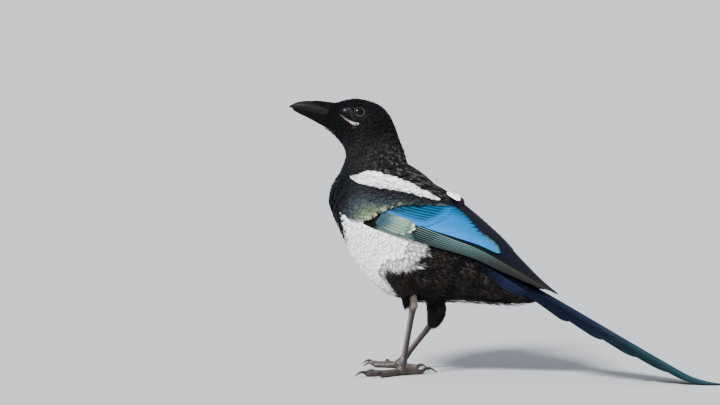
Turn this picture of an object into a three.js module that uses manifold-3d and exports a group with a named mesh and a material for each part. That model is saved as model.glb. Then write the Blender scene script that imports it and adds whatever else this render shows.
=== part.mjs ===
// A young Eurasian magpie standing on the ground, life size, as a museum model: millimetres, +Z up.
// The bill points along -X, the tail along +X, and +Y is the bird's right. The head is turned to the left.
import * as THREE from 'three';
import { mergeVertices } from 'three/addons/utils/BufferGeometryUtils.js';
import Module from 'manifold-3d';

const wasm = await Module();
wasm.setup();

// Driving sizes
const MIDDLE_X = 84.6; // from the heels to the middle of the bird's whole length, which stands over the origin
const GAP = 0.34; // between nodes that touch
const FINEST = 0.045; // detail smaller than this is smoothed away
const BODY_START = new THREE.Vector3(-30, 0, 128); // front end of the axis that the torso and wings follow
const BODY_PITCH = THREE.MathUtils.degToRad(25.4); // how steeply that axis falls towards the tail
const HEAD_TURN = THREE.MathUtils.degToRad(15);
const NECK_X = -20; // the upright line that the head turns on
const TURN_FROM_Z = 145;
const TURN_TO_Z = 180;
const EYE_RADIUS = 5;
const TAIL_START = new THREE.Vector3(75, 0, 81.4); // where the tail feathers grow from, inside the rump
const TAIL_PITCH = THREE.MathUtils.degToRad(27.65);
const TAIL_BEND_FROM = 158.6; // the tail runs straight to here, then curves to lie on the ground
const TAIL_BEND = 30;
const TAIL_LENGTH = 192;
const TAIL_ARCH = 0.0075; // how much lower the tail lies beside its middle, times the square of the distance
const VANE = 0.7; // thickness of a feather's vane

const { clamp, degToRad, lerp, smoothstep } = THREE.MathUtils;
const vec = (x, y, z) => new THREE.Vector3(x, y, z);

// Solids

// A closed geometry as a manifold solid, turned outwards if it's inside out.
function solid(geometry) {
  geometry.deleteAttribute('normal');
  geometry.deleteAttribute('uv');
  const merged = mergeVertices(geometry, 1e-4);
  const triVerts = new Uint32Array(merged.index.array);
  const vertProperties = merged.attributes.position.array;
  const made = new wasm.Manifold(new wasm.Mesh({ numProp: 3, vertProperties, triVerts }));
  if (made.volume() > 0) return made;
  for (let i = 0; i < triVerts.length; i += 3) triVerts.subarray(i, i + 3).reverse();
  return new wasm.Manifold(new wasm.Mesh({ numProp: 3, vertProperties, triVerts }));
}

// The largest closed surface of a solid, without scraps, sealed hollows or needless small faces.
function largest(made) {
  const biggest = (pieces) => pieces.reduce((a, b) => (b.volume() > a.volume() ? b : a));
  return biggest(biggest(made.decompose()).asOriginal().simplify(FINEST).decompose());
}

// A cylinder's surface, with each point placed by its share of the length and its angle round it.
function tube(around, along, place) {
  const geometry = new THREE.CylinderGeometry(1, 1, 1, around, along);
  const points = geometry.attributes.position;
  for (let i = 0; i < points.count; i++) {
    const [x, y, z] = [points.getX(i), points.getY(i), points.getZ(i)];
    const p = place(0.5 - y, Math.atan2(x, z), Math.round(Math.hypot(x, z)));
    points.setXYZ(i, p.x, p.y, p.z);
  }
  return solid(geometry);
}

// A thin plate over a grid, split alike on both faces: place(u, v, side) with side 1 above and 0 below.
function plate(along, across, place) {
  const points = [];
  const index = [];
  const row = across + 1;
  const face = row * (along + 1);
  for (const side of [1, 0])
    for (let i = 0; i <= along; i++)
      for (let j = 0; j <= across; j++) points.push(...place(i / along, j / across, side).toArray());
  const quad = (a, b, c, d) => index.push(a, b, c, a, c, d);
  for (let i = 0; i < along; i++)
    for (let j = 0; j < across; j++) {
      const a = i * row + j;
      const [b, c, d] = [a + row, a + row + 1, a + 1];
      quad(a, b, c, d);
      index.push(face + a, face + c, face + b, face + a, face + d, face + c);
    }
  for (let i = 0; i < along; i++) {
    const [l, r] = [i * row, i * row + across];
    quad(l + row, l, face + l, face + l + row);
    quad(r, r + row, face + r + row, face + r);
  }
  for (let j = 0; j < across; j++) {
    const [n, f] = [j, along * row + j];
    quad(n, n + 1, face + n + 1, face + n);
    quad(f + 1, f, face + f, face + f + 1);
  }
  const geometry = new THREE.BufferGeometry();
  geometry.setAttribute('position', new THREE.Float32BufferAttribute(points, 3));
  geometry.setIndex(index);
  return solid(geometry);
}

// Tables

// A column of a table of stations, read at s on a smooth curve through them.
function read(stations, s, column) {
  const last = stations.length - 1;
  const at = (i) => stations[i][0];
  const value = (i) => stations[i][column];
  const slope = (i) => {
    const [a, b] = [Math.max(i - 1, 0), Math.min(i + 1, last)];
    return (value(b) - value(a)) / (at(b) - at(a));
  };
  let i = 0;
  while (i < last - 1 && s > at(i + 1)) i++;
  const step = at(i + 1) - at(i);
  const t = clamp((s - at(i)) / step, 0, 1);
  const [t2, t3] = [t * t, t * t * t];
  return (
    (2 * t3 - 3 * t2 + 1) * value(i) +
    (t3 - 2 * t2 + t) * step * slope(i) +
    (3 * t2 - 2 * t3) * value(i + 1) +
    (t3 - t2) * step * slope(i + 1)
  );
}

// Body

const ALONG = vec(Math.cos(BODY_PITCH), 0, -Math.sin(BODY_PITCH));
const UP = vec(Math.sin(BODY_PITCH), 0, Math.cos(BODY_PITCH));

// A point beside the body's axis: s along it, n above it and y to the right.
const beside = (s, n, y) =>
  BODY_START.clone().addScaledVector(ALONG, s).addScaledVector(UP, n).setY(y);

// The head turns with height, so that the neck twists smoothly.
function turned(p) {
  const angle = HEAD_TURN * smoothstep(p.z, TURN_FROM_Z, TURN_TO_Z);
  return p.clone().sub(vec(NECK_X, 0, 0)).applyAxisAngle(vec(0, 0, 1), angle).add(vec(NECK_X, 0, 0));
}

// Torso stations: place along the axis, back, widest level and belly above the axis, half width
const TORSO = [
  [-22, 6, 2, -2, 4],
  [-20.5, 14, 1, -9, 14],
  [-16, 21, -1, -15, 23],
  [-9, 29, -4, -20.5, 30],
  [0, 34.5, -7, -27, 35],
  [12, 39, -8.5, -37, 38.5],
  [27, 38.5, -8, -47, 40],
  [45, 34.5, -6, -53.5, 40],
  [62, 30.5, -3, -52, 38],
  [80, 26, 0, -44, 35],
  [100, 21, 1, -33.5, 30],
  [118, 15, 0, -25.5, 24],
  [134, 9.5, -2, -18.5, 17.5],
  [148, 4.5, -3, -11, 11],
  [154, 1.5, -3.5, -7.5, 5],
];

function torso(grow = 0) {
  const [first, last] = [TORSO[0][0], TORSO.at(-1)[0]];
  return tube(20, 16, (t, angle, rim) => {
    const s = lerp(first - grow, last + grow, t);
    const [back, level, belly, half] = [1, 2, 3, 4].map((column) => read(TORSO, s, column));
    const up = Math.cos(angle);
    const depth = up > 0 ? back - level + grow : level - belly + grow;
    return beside(s, level + rim * depth * up, rim * (half + grow) * Math.sin(angle));
  });
}

// Ribs of the neck and head: a point on the nape or crown, one on the throat, and the half width
const NECK = [
  { back: [1, 126], front: [-35, 112], half: 24 },
  { back: [3, 141], front: [-44.5, 121], half: 28 },
  { back: [4.4, 151], front: [-48.5, 131], half: 28.5 },
  { back: [3.4, 158], front: [-47, 142.5], half: 26.5 },
  { back: [1, 166], front: [-43, 153], half: 23.5 },
  { back: [-2, 173], front: [-41.3, 160], half: 21 },
  { back: [-4, 179.4], front: [-42.8, 165.5], half: 19.5 },
  { back: [-6.8, 186.2], front: [-45.2, 169.5], half: 18.7 },
  { back: [-10.8, 192.5], front: [-48, 172.8], half: 18 },
  { back: [-17, 197.8], front: [-50.4, 175.4], half: 17.3 },
  { back: [-25, 200.6], front: [-52.6, 177.4], half: 16.6 },
  { back: [-33, 202], front: [-54.4, 179], half: 15.2 },
  { back: [-40, 201.2], front: [-55.8, 180.4], half: 13 },
  { back: [-46, 199.6], front: [-57, 181.6], half: 10.4 },
  { back: [-51, 198.6], front: [-58.4, 183.4], half: 7.4 },
];

const spline = (points) => new THREE.CatmullRomCurve3(points);
const neckBack = spline(NECK.map(({ back: [x, z], half }) => vec(x, half, z)));
const neckFront = spline(NECK.map(({ front: [x, z], half }) => vec(x, half, z)));

// A point on the neck and head: t from the breast to the face, angle from the nape or crown round to the throat.
function neckSkin(t, angle, side, h = 0, rim = 1) {
  const [b, f] = [neckBack.getPoint(t), neckFront.getPoint(t)];
  const half = b.y;
  const middle = b.clone().add(f).multiplyScalar(0.5).setY(0);
  const reach = b.clone().sub(f).multiplyScalar(0.5).setY(0);
  const depth = reach.length();
  const radius = Math.hypot(half * Math.cos(angle), depth * Math.sin(angle));
  const a = angle + side / radius;
  return turned(
    middle
      .addScaledVector(reach, (rim * (depth + h) * Math.cos(a)) / depth)
      .setY(rim * (half + h) * Math.sin(a)),
  );
}

const neckAndHead = () => tube(20, 22, (t, angle, rim) => neckSkin(t, angle, 0, 0, rim));

// Bill

// Ribs of the bill from the face to the tip: the culmen, the cutting edge, the lower edge and the half width
const BILL = [
  { top: [-40, 196], cut: [-40, 186.3], low: [-44, 177], half: 7.4 },
  { top: [-47, 198.3], cut: [-47, 188.4], low: [-52, 179.6], half: 7.2 },
  { top: [-55, 199.4], cut: [-55, 190], low: [-58, 181.6], half: 6.4 },
  { top: [-63, 200.2], cut: [-62.5, 191.4], low: [-64, 184.8], half: 5.3 },
  { top: [-70, 200.4], cut: [-69, 192.6], low: [-70, 188], half: 4.2 },
  { top: [-76.5, 199.6], cut: [-75, 193.7], low: [-75.5, 190.6], half: 3 },
  { top: [-81.5, 197.6], cut: [-79.6, 194.6], low: [-79.3, 192.6], half: 1.7 },
  { top: [-84, 195.6], cut: [-81.4, 195], low: [-80.6, 193.7], half: 0.7 },
];
const MOUTH_GAP = 0.34;
const billLine = (name) => spline(BILL.map((rib) => vec(rib[name][0], rib.half, rib[name][1])));
const billLines = { top: billLine('top'), cut: billLine('cut'), low: billLine('low') };

// One half of the bill: a ridge line on the midplane, and the flat cutting edge that it closes on.
function mandible(ridge, sign, grow = 0) {
  return tube(12, 9, (t, angle, rim) => {
    const r = billLines[ridge].getPoint(t);
    const c = billLines.cut.getPoint(t);
    const share = rim ? Math.max(Math.cos(angle), 0) : 0.4;
    const flat = rim && Math.cos(angle) < 0.01 ? -grow : 0;
    const rise = (sign * (r.z - c.z) - MOUTH_GAP / 2 + rim * grow) * share;
    const half = (r.y + grow) * Math.sin(angle) * (1 - 0.18 * share);
    const x = lerp(c.x, r.x, share) + grow * (1 - 2 * t);
    return turned(vec(x, rim * half, c.z + sign * (MOUTH_GAP / 2 + rise + flat)));
  });
}

// Wings

// Stations of the folded wing's surface: place along the axis, top, widest level and half width
const WING = [
  [-8, 34, -8, 33],
  [10, 40, -9, 39],
  [25, 39.8, -8, 41],
  [45, 35.5, -6, 41],
  [65, 31.4, -3, 39.3],
  [85, 27.5, 0, 36],
  [105, 22.8, 2.5, 30.5],
  [125, 16, 1.5, 24.5],
  [145, 9.4, 0, 18],
  [160, 6.4, -1, 13.5],
  [178, 4.6, -1.5, 9],
];
// The wing's lower edge, as degrees round from the back
const LOWER_EDGE = [
  [0, 92],
  [30, 88],
  [62, 84],
  [88, 79],
  [106, 74],
  [126, 64],
  [144, 48],
  [160, 30],
  [178, 22],
];
const WING_UNDER = -3; // the wing's inner face, under its surface

// A point on the left wing's surface, h above it: s along the axis, q up over the side from the lower edge.
function wingSkin(s, q, side, h) {
  const [top, level, half] = [1, 2, 3].map((column) => read(WING, s, column));
  const rise = top - level;
  const edge = degToRad(read(LOWER_EDGE, s, 1));
  const radius = (rise + half) / 2;
  const angle = edge - (q + side) / radius;
  return beside(s, level + (rise + h) * Math.cos(angle), -(half + h) * Math.sin(angle));
}

// The wing's upper edge, as millimetres up from the lower edge
const UPPER_EDGE = [
  [-2, 20],
  [6, 35],
  [20, 41],
  [40, 44],
  [60, 40],
  [80, 34],
  [100, 27],
  [120, 20],
  [140, 11],
  [150, 7],
];

// The wing's body under its feathers: a curved plate, thin at its rim.
function wingCore(grow, low, high) {
  const [front, rear] = [UPPER_EDGE[0][0] - 2 * grow, UPPER_EDGE.at(-1)[0] + 2 * grow];
  return plate(10, 6, (u, v, side) => {
    const s = lerp(front, rear, u);
    const q = lerp(-2 * grow, read(UPPER_EDGE, s, 1) + 2 * grow, v);
    const rim = Math.min(1, 8 * Math.min(v, 1 - v, 0.4 * u + 0.02, 1 - u + 0.06));
    const h = side ? high : grow ? low : lerp(-1.1, low, rim);
    return wingSkin(s, q, 0, h);
  });
}

// Tail

// A point on the tail: r along it from its root, y to the right, h above it.
function tailSkin(r, y, side, h) {
  const p = TAIL_START.clone();
  const straight = Math.min(r, TAIL_BEND_FROM);
  p.x += straight * Math.cos(TAIL_PITCH);
  p.z -= straight * Math.sin(TAIL_PITCH);
  const bent = clamp(r - TAIL_BEND_FROM, 0, TAIL_BEND);
  const pitch = TAIL_PITCH * (1 - bent / TAIL_BEND);
  const half = (TAIL_PITCH + pitch) / 2;
  p.x += bent * Math.cos(half) + Math.max(r - TAIL_BEND_FROM - TAIL_BEND, 0);
  p.z -= bent * Math.sin(half);
  const wide = y + side;
  const arch = TAIL_ARCH * Math.cos(pitch * 0.9 + 0.15) * wide ** 2 * clamp((TAIL_LENGTH - r) / 60, 0, 1);
  return p.add(vec(Math.sin(pitch) * (h - arch), wide, Math.cos(pitch) * (h - arch)));
}

// Feathers

// A vane on a skin such as wingSkin: its root and tip, its width, how much prouder its outer edge lies
// than its inner one, and its height over the skin at the root and tip.
function vane(skin, { root, tip, width, tilt = 0, lift = [0, 0], steps = 3, blunt = 0.5, out = -1 }) {
  return plate(steps, 2, (u, v, side) => {
    const end = u === 1 && v === 0.5 ? width * 0.18 : 0;
    const wide = width * Math.min(0.6 + 1.2 * u, 1) * (u === 1 ? blunt : 1);
    const across = (v - 0.5) * wide;
    const shaft = v === 0.5 ? 0.16 : 0;
    const h = lerp(...lift, u) + tilt * out * (v - 0.5) * 2 + (side ? shaft : -VANE);
    return skin(lerp(root[0], tip[0], u) + end, lerp(root[1], tip[1], u), across, h);
  });
}

// A row of vanes between a first and a last one, each laid over the one before.
function tier(skin, count, first, last, shared) {
  return Array.from({ length: count }, (_, i) => {
    const t = count > 1 ? i / (count - 1) : 0;
    const mix = (a, b) => a.map((value, k) => lerp(value, b[k], t));
    const bow = shared.bow ? shared.bow * Math.sin(Math.PI * t) : 0;
    const tip = mix(first.tip, last.tip);
    return vane(skin, {
      ...shared,
      root: mix(first.root, last.root),
      tip: [tip[0] + bow, tip[1]],
      width: lerp(first.width, last.width, t),
    });
  });
}

// The wing's tiers from the lowest feathers to the scapulars that cover the rest: [distance along the wing,
// distance up from its lower edge] for each root and tip.
const WING_TIERS = [
  // primaries
  [6, { root: [56, 2.6], tip: [150, 2.4], width: 4.8 }, { root: [58, 12], tip: [168, 1.8], width: 3.8 }, { bow: 5, tilt: 0.45, lift: [0.1, 0.4], steps: 4 }],
  // primary coverts and alula
  [3, { root: [34, 3], tip: [63, 4], width: 6 }, { root: [36, 10], tip: [58, 12], width: 6 }, { tilt: 0.6, lift: [0.2, 1], steps: 2 }],
  [1, { root: [28, 7], tip: [50, 11], width: 8 }, { root: [28, 7], tip: [50, 11], width: 8 }, { tilt: 0.5, lift: [0.3, 1.7], steps: 2 }],
  // secondaries and tertials
  [5, { root: [58, 16], tip: [121, 17.5], width: 6 }, { root: [62, 31], tip: [98, 28], width: 6.5 }, { bow: 3, tilt: 0.6, lift: [0.3, 0.6], steps: 3 }],
  [2, { root: [60, 35], tip: [108, 24], width: 8 }, { root: [58, 37], tip: [92, 30], width: 8 }, { tilt: 0.5, lift: [0.4, 1.3] }],
  // greater, median and lesser coverts
  [5, { root: [42, 16], tip: [65, 17.5], width: 7 }, { root: [48, 36], tip: [71, 36], width: 7 }, { tilt: 0.6, lift: [0.2, 1.2], steps: 2 }],
  [4, { root: [24, 14], tip: [44, 15.5], width: 8 }, { root: [31, 33], tip: [53, 33.5], width: 8 }, { tilt: 0.6, lift: [0.2, 1.3], steps: 2 }],
  [4, { root: [4, 10], tip: [25, 12], width: 8 }, { root: [12, 27], tip: [34, 28], width: 8 }, { tilt: 0.6, lift: [0.1, 1.3], steps: 2 }],
  // scapulars
  [3, { root: [38, 36.5], tip: [54, 37], width: 7.5 }, { root: [38, 43], tip: [61, 41], width: 7 }, { tilt: 0.5, lift: [0.5, 1.7], steps: 2 }],
  [3, { root: [16, 33], tip: [38, 34], width: 8 }, { root: [20, 42], tip: [46, 42], width: 7.5 }, { tilt: 0.5, lift: [0.3, 1.8], steps: 2 }],
  [2, { root: [-2, 31], tip: [21, 33], width: 7.5 }, { root: [1, 35], tip: [28, 40], width: 8 }, { tilt: 0.5, lift: [0.2, 1.8], steps: 2 }],
];

// A point on the upper bill: s forward from the face, q degrees round from the culmen.
function billSkin(s, q, side, h) {
  const t = s / 46;
  const r = billLines.top.getPoint(t);
  const c = billLines.cut.getPoint(t);
  const angle = degToRad(q) + side / 6.5;
  const share = Math.max(Math.cos(angle), 0);
  const half = (r.y + h) * Math.sin(angle) * (1 - 0.18 * share);
  return turned(vec(lerp(c.x, r.x, share), half, c.z + (r.z - c.z + h) * share));
}

// Locks of bristles that lie forward over the nostrils, on each side of the bill
function bristles() {
  const lock = (root, tip, q, width) =>
    vane(billSkin, { root: [root, q * 0.9], tip: [tip, q], width, lift: [1.25, 1.08], steps: 2, blunt: 0.35 });
  const sides = [-1, 1].flatMap((side) => [
    lock(5, 19.5, side * 30, 5),
    lock(4.5, 17, side * 52, 5),
    lock(4, 13.5, side * 72, 4),
  ]);
  return wasm.Manifold.union([lock(5.5, 18, 0, 4.5), ...sides]);
}

// The bare fold of skin behind the bill, under each eye: places along the head and round it
function gape(side) {
  const line = [
    [0.93, 97],
    [0.86, 94],
    [0.8, 92.5],
    [0.73, 93],
    [0.66, 94.5],
    [0.585, 96.5],
  ];
  const joints = line.map(([t, q], i) => ({
    at: neckSkin(t, side * degToRad(q), 0, 0.1).toArray(),
    radius: [1.2 - 0.08 * i, 1 - 0.05 * i],
  }));
  return limb(6, 6, joints);
}

// Legs

// A limb along a line of joints, each { at, radius: [fore and aft, across] }.
function limb(around, along, joints, grow = 0) {
  const line = spline(joints.map(({ at }) => vec(...at)));
  const size = spline(joints.map(({ radius: [a, b] }) => vec(a, b, 0)));
  return tube(around, along, (t, angle, rim) => {
    const r = size.getPoint(t);
    const way = line.getTangent(t);
    const across = vec(0, 1, 0).addScaledVector(way, -way.y).normalize();
    const fore = across.clone().cross(way);
    const end = grow * (t === 0 ? -1 : t === 1 ? 1 : 0);
    return line
      .getPoint(t)
      .addScaledVector(fore, rim * (r.x + grow) * Math.cos(angle))
      .addScaledVector(across, rim * (r.y + grow) * Math.sin(angle))
      .addScaledVector(way, end);
  });
}

const THIGHS = {
  left: [
    { at: [2, -26, 95], radius: [9, 7] },
    { at: [5, -26.6, 88], radius: [16, 11.5] },
    { at: [9.5, -26, 77], radius: [14, 11.5] },
    { at: [12.6, -22.6, 67], radius: [9.6, 9] },
    { at: [14.8, -18.8, 60.5], radius: [6, 5.8] },
    { at: [16.4, -17.3, 56.2], radius: [4.2, 4.1] },
  ],
  right: [
    { at: [4, 26, 88], radius: [9, 7] },
    { at: [9, 26, 80], radius: [16, 11.5] },
    { at: [17.5, 22.4, 64], radius: [11, 10] },
    { at: [21, 19.6, 52], radius: [7.6, 7.2] },
    { at: [22.2, 17.8, 43.5], radius: [7.2, 6.6] },
    { at: [20.6, 17.3, 37], radius: [5.2, 5] },
    { at: [17.8, 17.6, 33.4], radius: [3.4, 3.4] },
  ],
};
const HEELS = { left: [17, -17, 54.5], right: [25, 16, 42] };
const ANKLES = { left: [9.4, -20, 8.5], right: [-4.5, 22.5, 8.5] };
const FOOT_MIDDLES = { left: [8, -20.4], right: [-8.4, 23.4] };
const HEADINGS = { left: -42, right: 21 }; // where the middle toe points, in degrees from ahead to the right
// Each toe: degrees from the middle toe towards the other foot, length, thickness and the claw's length
const TOES = {
  hind: { turn: 178, length: 15, thick: 2.6, claw: 11.5, arch: 2.6, knuckles: 1 },
  inner: { turn: 27, length: 17, thick: 2.35, claw: 8, arch: 1.9, knuckles: 2 },
  middle: { turn: 0, length: 25, thick: 2.45, claw: 8.5, arch: 1.9, knuckles: 3 },
  outer: { turn: -27, length: 20, thick: 2.3, claw: 7.5, arch: 1.9, knuckles: 3 },
};
const SOLE = 2; // height of a toe's middle line over the ground
const TOE_START = 3.2; // from the foot's middle

const groundWay = (side, turn) => {
  const angle = degToRad(HEADINGS[side] + (side === 'left' ? turn : -turn));
  return vec(-Math.cos(angle), Math.sin(angle), 0);
};
const footMiddle = (side, z) => vec(...FOOT_MIDDLES[side], z);

const thigh = (side, grow = 0) => limb(14, 10, THIGHS[side], grow);

function shin(side) {
  const [heel, ankle] = [vec(...HEELS[side]), vec(...ANKLES[side])];
  const at = (t) => heel.clone().lerp(ankle, t).toArray();
  return limb(10, 10, [
    { at: at(0), radius: [2.6, 2.4] },
    { at: at(0.06), radius: [3.4, 3.1] },
    { at: at(0.2), radius: [2.4, 2.1] },
    { at: at(0.6), radius: [2.15, 1.9] },
    { at: at(0.85), radius: [2.3, 2.1] },
    { at: at(0.97), radius: [2.9, 2.8] },
    { at: footMiddle(side, 4.5).toArray(), radius: [2.5, 2.6] },
  ]);
}

function pad(side, grow = 0) {
  const ahead = groundWay(side, 0);
  const across = vec(-ahead.y, ahead.x, 0);
  return tube(10, 6, (t, angle, rim) => {
    const bulge = Math.sin(Math.PI * lerp(0.04, 0.96, t));
    return footMiddle(side, SOLE + 1.4)
      .addScaledVector(ahead, Math.cos(Math.PI * lerp(0.04, 0.96, t)) * (4.6 + grow))
      .addScaledVector(across, rim * (3.8 + grow) * bulge * Math.sin(angle))
      .setZ(SOLE + 1.4 + rim * (3.7 + grow) * bulge * Math.cos(angle));
  });
}

function toe(side, name, grow = 0) {
  const { turn, length, thick, knuckles } = TOES[name];
  const steps = knuckles * 2 + 1;
  const joints = Array.from({ length: steps + 1 }, (_, i) => {
    const t = i / steps;
    const r = lerp(thick, thick * 0.76, t) * (i === steps ? 0.78 : i % 2 ? 0.86 : 1);
    const z = SOLE + 0.9 * Math.max(0, 1 - 3 * t);
    const p = footMiddle(side, z).addScaledVector(groundWay(side, turn), TOE_START + length * t);
    return { at: p.toArray(), radius: [r, r] };
  });
  return limb(6, steps + 1, joints, grow);
}

function claw(side, name) {
  const { turn, length, claw: reach, arch } = TOES[name];
  const joints = [0, 0.25, 0.5, 0.75, 1].map((t) => {
    const z = SOLE + 0.2 + arch * Math.sin(Math.PI * t ** 0.9) * 0.9 - 1.5 * t ** 2;
    const along = TOE_START + length - 1.2 + (reach + 1.2) * t;
    const p = footMiddle(side, z).addScaledVector(groundWay(side, turn), along);
    return { at: p.toArray(), radius: [lerp(1.6, 0.28, t ** 0.85), lerp(1.15, 0.24, t ** 0.85)] };
  });
  return limb(5, 5, joints);
}

// Eyes

const EYE_PLACE = { along: 0.688, angle: degToRad(61.5), sink: 3.55 }; // on the head, and the ball's depth in it

function eyeAt(side) {
  const p = neckSkin(EYE_PLACE.along, side * EYE_PLACE.angle, 0);
  const out = neckSkin(EYE_PLACE.along, side * EYE_PLACE.angle, 0, 1).sub(p).normalize();
  return { middle: p.addScaledVector(out, -EYE_PLACE.sink), out };
}

function ball({ middle }, radius) {
  const geometry = new THREE.SphereGeometry(radius, 16, 9);
  geometry.translate(middle.x, middle.y, middle.z);
  return solid(geometry);
}

// A ring of skin round the eye's opening, standing a little proud.
function lids({ middle, out }) {
  const geometry = new THREE.TorusGeometry(4.1, 0.8, 5, 16);
  geometry.scale(1.08, 0.94, 1);
  geometry.applyQuaternion(new THREE.Quaternion().setFromUnitVectors(vec(0, 0, 1), out));
  const p = middle.clone().addScaledVector(out, 3.25);
  geometry.translate(p.x, p.y, p.z);
  return solid(geometry);
}

// Assembly

// A plane across the midplane's line from a point on the back to one on the front, facing the bill.
function plane([backX, backZ], [frontX, frontZ]) {
  const n = vec(frontZ - backZ, 0, backX - frontX).normalize();
  return { n: n.toArray(), d: n.x * backX + n.z * backZ };
}
const HEAD_PLANE = plane([-3.5, 180.5], [-43, 166]);
const NECK_PLANE = plane([6, 153], [-48, 144]);
const ahead = (s, { n, d }) => s.trimByPlane(n, d + GAP / 2);
const behind = (s, { n, d }) => s.trimByPlane(n.map((x) => -x), -d + GAP / 2);

const flip = (s) => s.mirror([0, 1, 0]);
const onGround = (s) => s.trimByPlane([0, 0, 1], 0);
const SIDES = ['left', 'right'];

function wing() {
  const feathers = WING_TIERS.flatMap((row) => tier(wingSkin, ...row));
  return wasm.Manifold.union([wingCore(0, WING_UNDER, 0), ...feathers]);
}

// The room under the feathers' overhanging edges
function wingSill() {
  return plate(12, 6, (u, v, side) => {
    const s = lerp(-9, 168, u);
    const q = lerp(-3, read(UPPER_EDGE, s, 1) + 9, v);
    return wingSkin(s, q, 0, side ? 14 : -1.6 - GAP);
  });
}

// Half the width of the closed tail along its length
const TAIL_HALF = [
  [10, 8],
  [30, 13],
  [60, 19],
  [90, 22],
  [125, 20.5],
  [160, 15],
  [180, 11],
  [192, 6],
];

// The tail's feathers from the middle pair outwards: length, distance of the outer edge from the middle, height
const RECTRICES = [
  { length: 192, outer: 9.5, h: 0, width: 17 },
  { length: 175, outer: 13, h: -0.58, width: 17 },
  { length: 153, outer: 16.5, h: -1.16, width: 17 },
  { length: 128, outer: 19.5, h: -1.7, width: 17 },
  { length: 100, outer: 21.5, h: -2.2, width: 16 },
  { length: 71, outer: 22.5, h: -2.7, width: 15 },
];

function tailFeathers() {
  const core = plate(5, 4, (u, v, side) => {
    const r = lerp(14, 66, u);
    return tailSkin(r, (v - 0.5) * 2 * (read(TAIL_HALF, r, 1) - 1.5), 0, side ? -0.2 : -3.2);
  });
  const vanes = RECTRICES.flatMap(({ length, outer, h, width }, i) =>
    [-1, 1].map((side) =>
      vane(tailSkin, {
        root: [14, side * (7 - width * 0.3 + 0.3 * i)],
        tip: [length, side * (outer - width / 2)],
        width,
        lift: [h + (side < 0 ? 0.1 : 0), h + (side < 0 ? 0.1 : 0)],
        steps: length > 140 ? 8 : 5,
        blunt: 0.55,
      }),
    ),
  );
  return wasm.Manifold.union([core, ...vanes]);
}

// The room that the tail's feathers take in the rump
function tailRoom() {
  return plate(10, 6, (u, v, side) => {
    const r = lerp(14 - GAP, 80, u);
    const half = read(TAIL_HALF, r, 1) + 2.4 * (1 - u) + GAP;
    return tailSkin(r, (v - 0.5) * 2 * half, 0, side ? GAP + 0.2 : -4.3 - GAP);
  });
}

function build() {
  const eyes = { left: eyeAt(-1), right: eyeAt(1) };
  const parts = { bill_upper: mandible('top', 1), bill_lower: mandible('low', -1) };

  let trunk = torso().add(neckAndHead());
  for (const eye of Object.values(eyes)) trunk = trunk.add(lids(eye));
  trunk = trunk.add(gape(-1)).add(gape(1));
  const wingRoom = wingCore(GAP, WING_UNDER - GAP, 14);
  const sill = wingSill();
  for (const room of [
    wingRoom,
    flip(wingRoom),
    sill,
    flip(sill),
    tailRoom(),
    mandible('top', 1, GAP),
    mandible('low', -1, GAP),
    ...Object.values(eyes).map((eye) => ball(eye, EYE_RADIUS + GAP)),
    ...SIDES.map((side) => thigh(side, GAP)),
  ])
    trunk = trunk.subtract(room);
  parts.head = ahead(trunk, HEAD_PLANE).add(bristles());
  parts.neck = ahead(behind(trunk, HEAD_PLANE), NECK_PLANE);
  parts.torso = behind(trunk, NECK_PLANE);

  parts.wing_left = wing();
  parts.wing_right = flip(parts.wing_left);
  parts.tail = onGround(tailFeathers());
  for (const side of SIDES) {
    parts[`eye_${side}`] = ball(eyes[side], EYE_RADIUS);
    parts[`thigh_${side}`] = thigh(side);
    parts[`tarsus_${side}`] = shin(side)
      .subtract(thigh(side, GAP))
      .subtract(pad(side, GAP))
      .subtract(toe(side, 'hind', GAP));
    parts[`foot_${side}`] = onGround(pad(side));
    for (const name of Object.keys(TOES)) {
      let digit = toe(side, name).subtract(pad(side, GAP));
      if (name === 'inner' || name === 'outer') digit = digit.subtract(toe(side, 'middle', GAP));
      parts[`toe_${name}_${side}`] = onGround(digit);
      parts[`claw_${name}_${side}`] = onGround(claw(side, name).subtract(toe(side, name, GAP)));
    }
  }
  return parts;
}

const LOOKS = {
  head: { color: 0x16161a, roughness: 0.55 },
  neck: { color: 0x18181c, roughness: 0.6 },
  torso: { color: 0xe9e7e2, roughness: 0.8 },
  wing: { color: 0x1f4f74, roughness: 0.4 },
  tail: { color: 0x17303a, roughness: 0.4 },
  thigh: { color: 0x17161a, roughness: 0.8 },
  bill: { color: 0x1b1b1e, roughness: 0.35 },
  eye: { color: 0x0d0a08, roughness: 0.08 },
  tarsus: { color: 0x4b4449, roughness: 0.5 },
  foot: { color: 0x453e41, roughness: 0.55 },
  toe: { color: 0x453e41, roughness: 0.55 },
  claw: { color: 0x1d1a1a, roughness: 0.3 },
};

function mesh(name, made) {
  const { numProp, vertProperties, triVerts } = made.translate([-MIDDLE_X, 0, 0]).getMesh();
  const points = new Float32Array((vertProperties.length / numProp) * 3);
  for (let i = 0; i < points.length / 3; i++)
    for (let k = 0; k < 3; k++) points[i * 3 + k] = vertProperties[i * numProp + k];
  const geometry = new THREE.BufferGeometry();
  geometry.setAttribute('position', new THREE.BufferAttribute(points, 3));
  geometry.setIndex([...triVerts]);
  geometry.computeVertexNormals();
  const shown = new THREE.Mesh(geometry, new THREE.MeshStandardMaterial(LOOKS[name.split('_')[0]]));
  shown.name = name;
  return shown;
}

const magpie = new THREE.Group();
magpie.name = 'magpie';
for (const [name, made] of Object.entries(build())) magpie.add(mesh(name, largest(made)));

export default magpie;
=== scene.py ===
# A young Eurasian magpie standing on the ground, life size, as a museum model.
import math
from functools import partial

import bmesh
import bpy
import numpy as np
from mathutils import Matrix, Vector, kdtree


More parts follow.
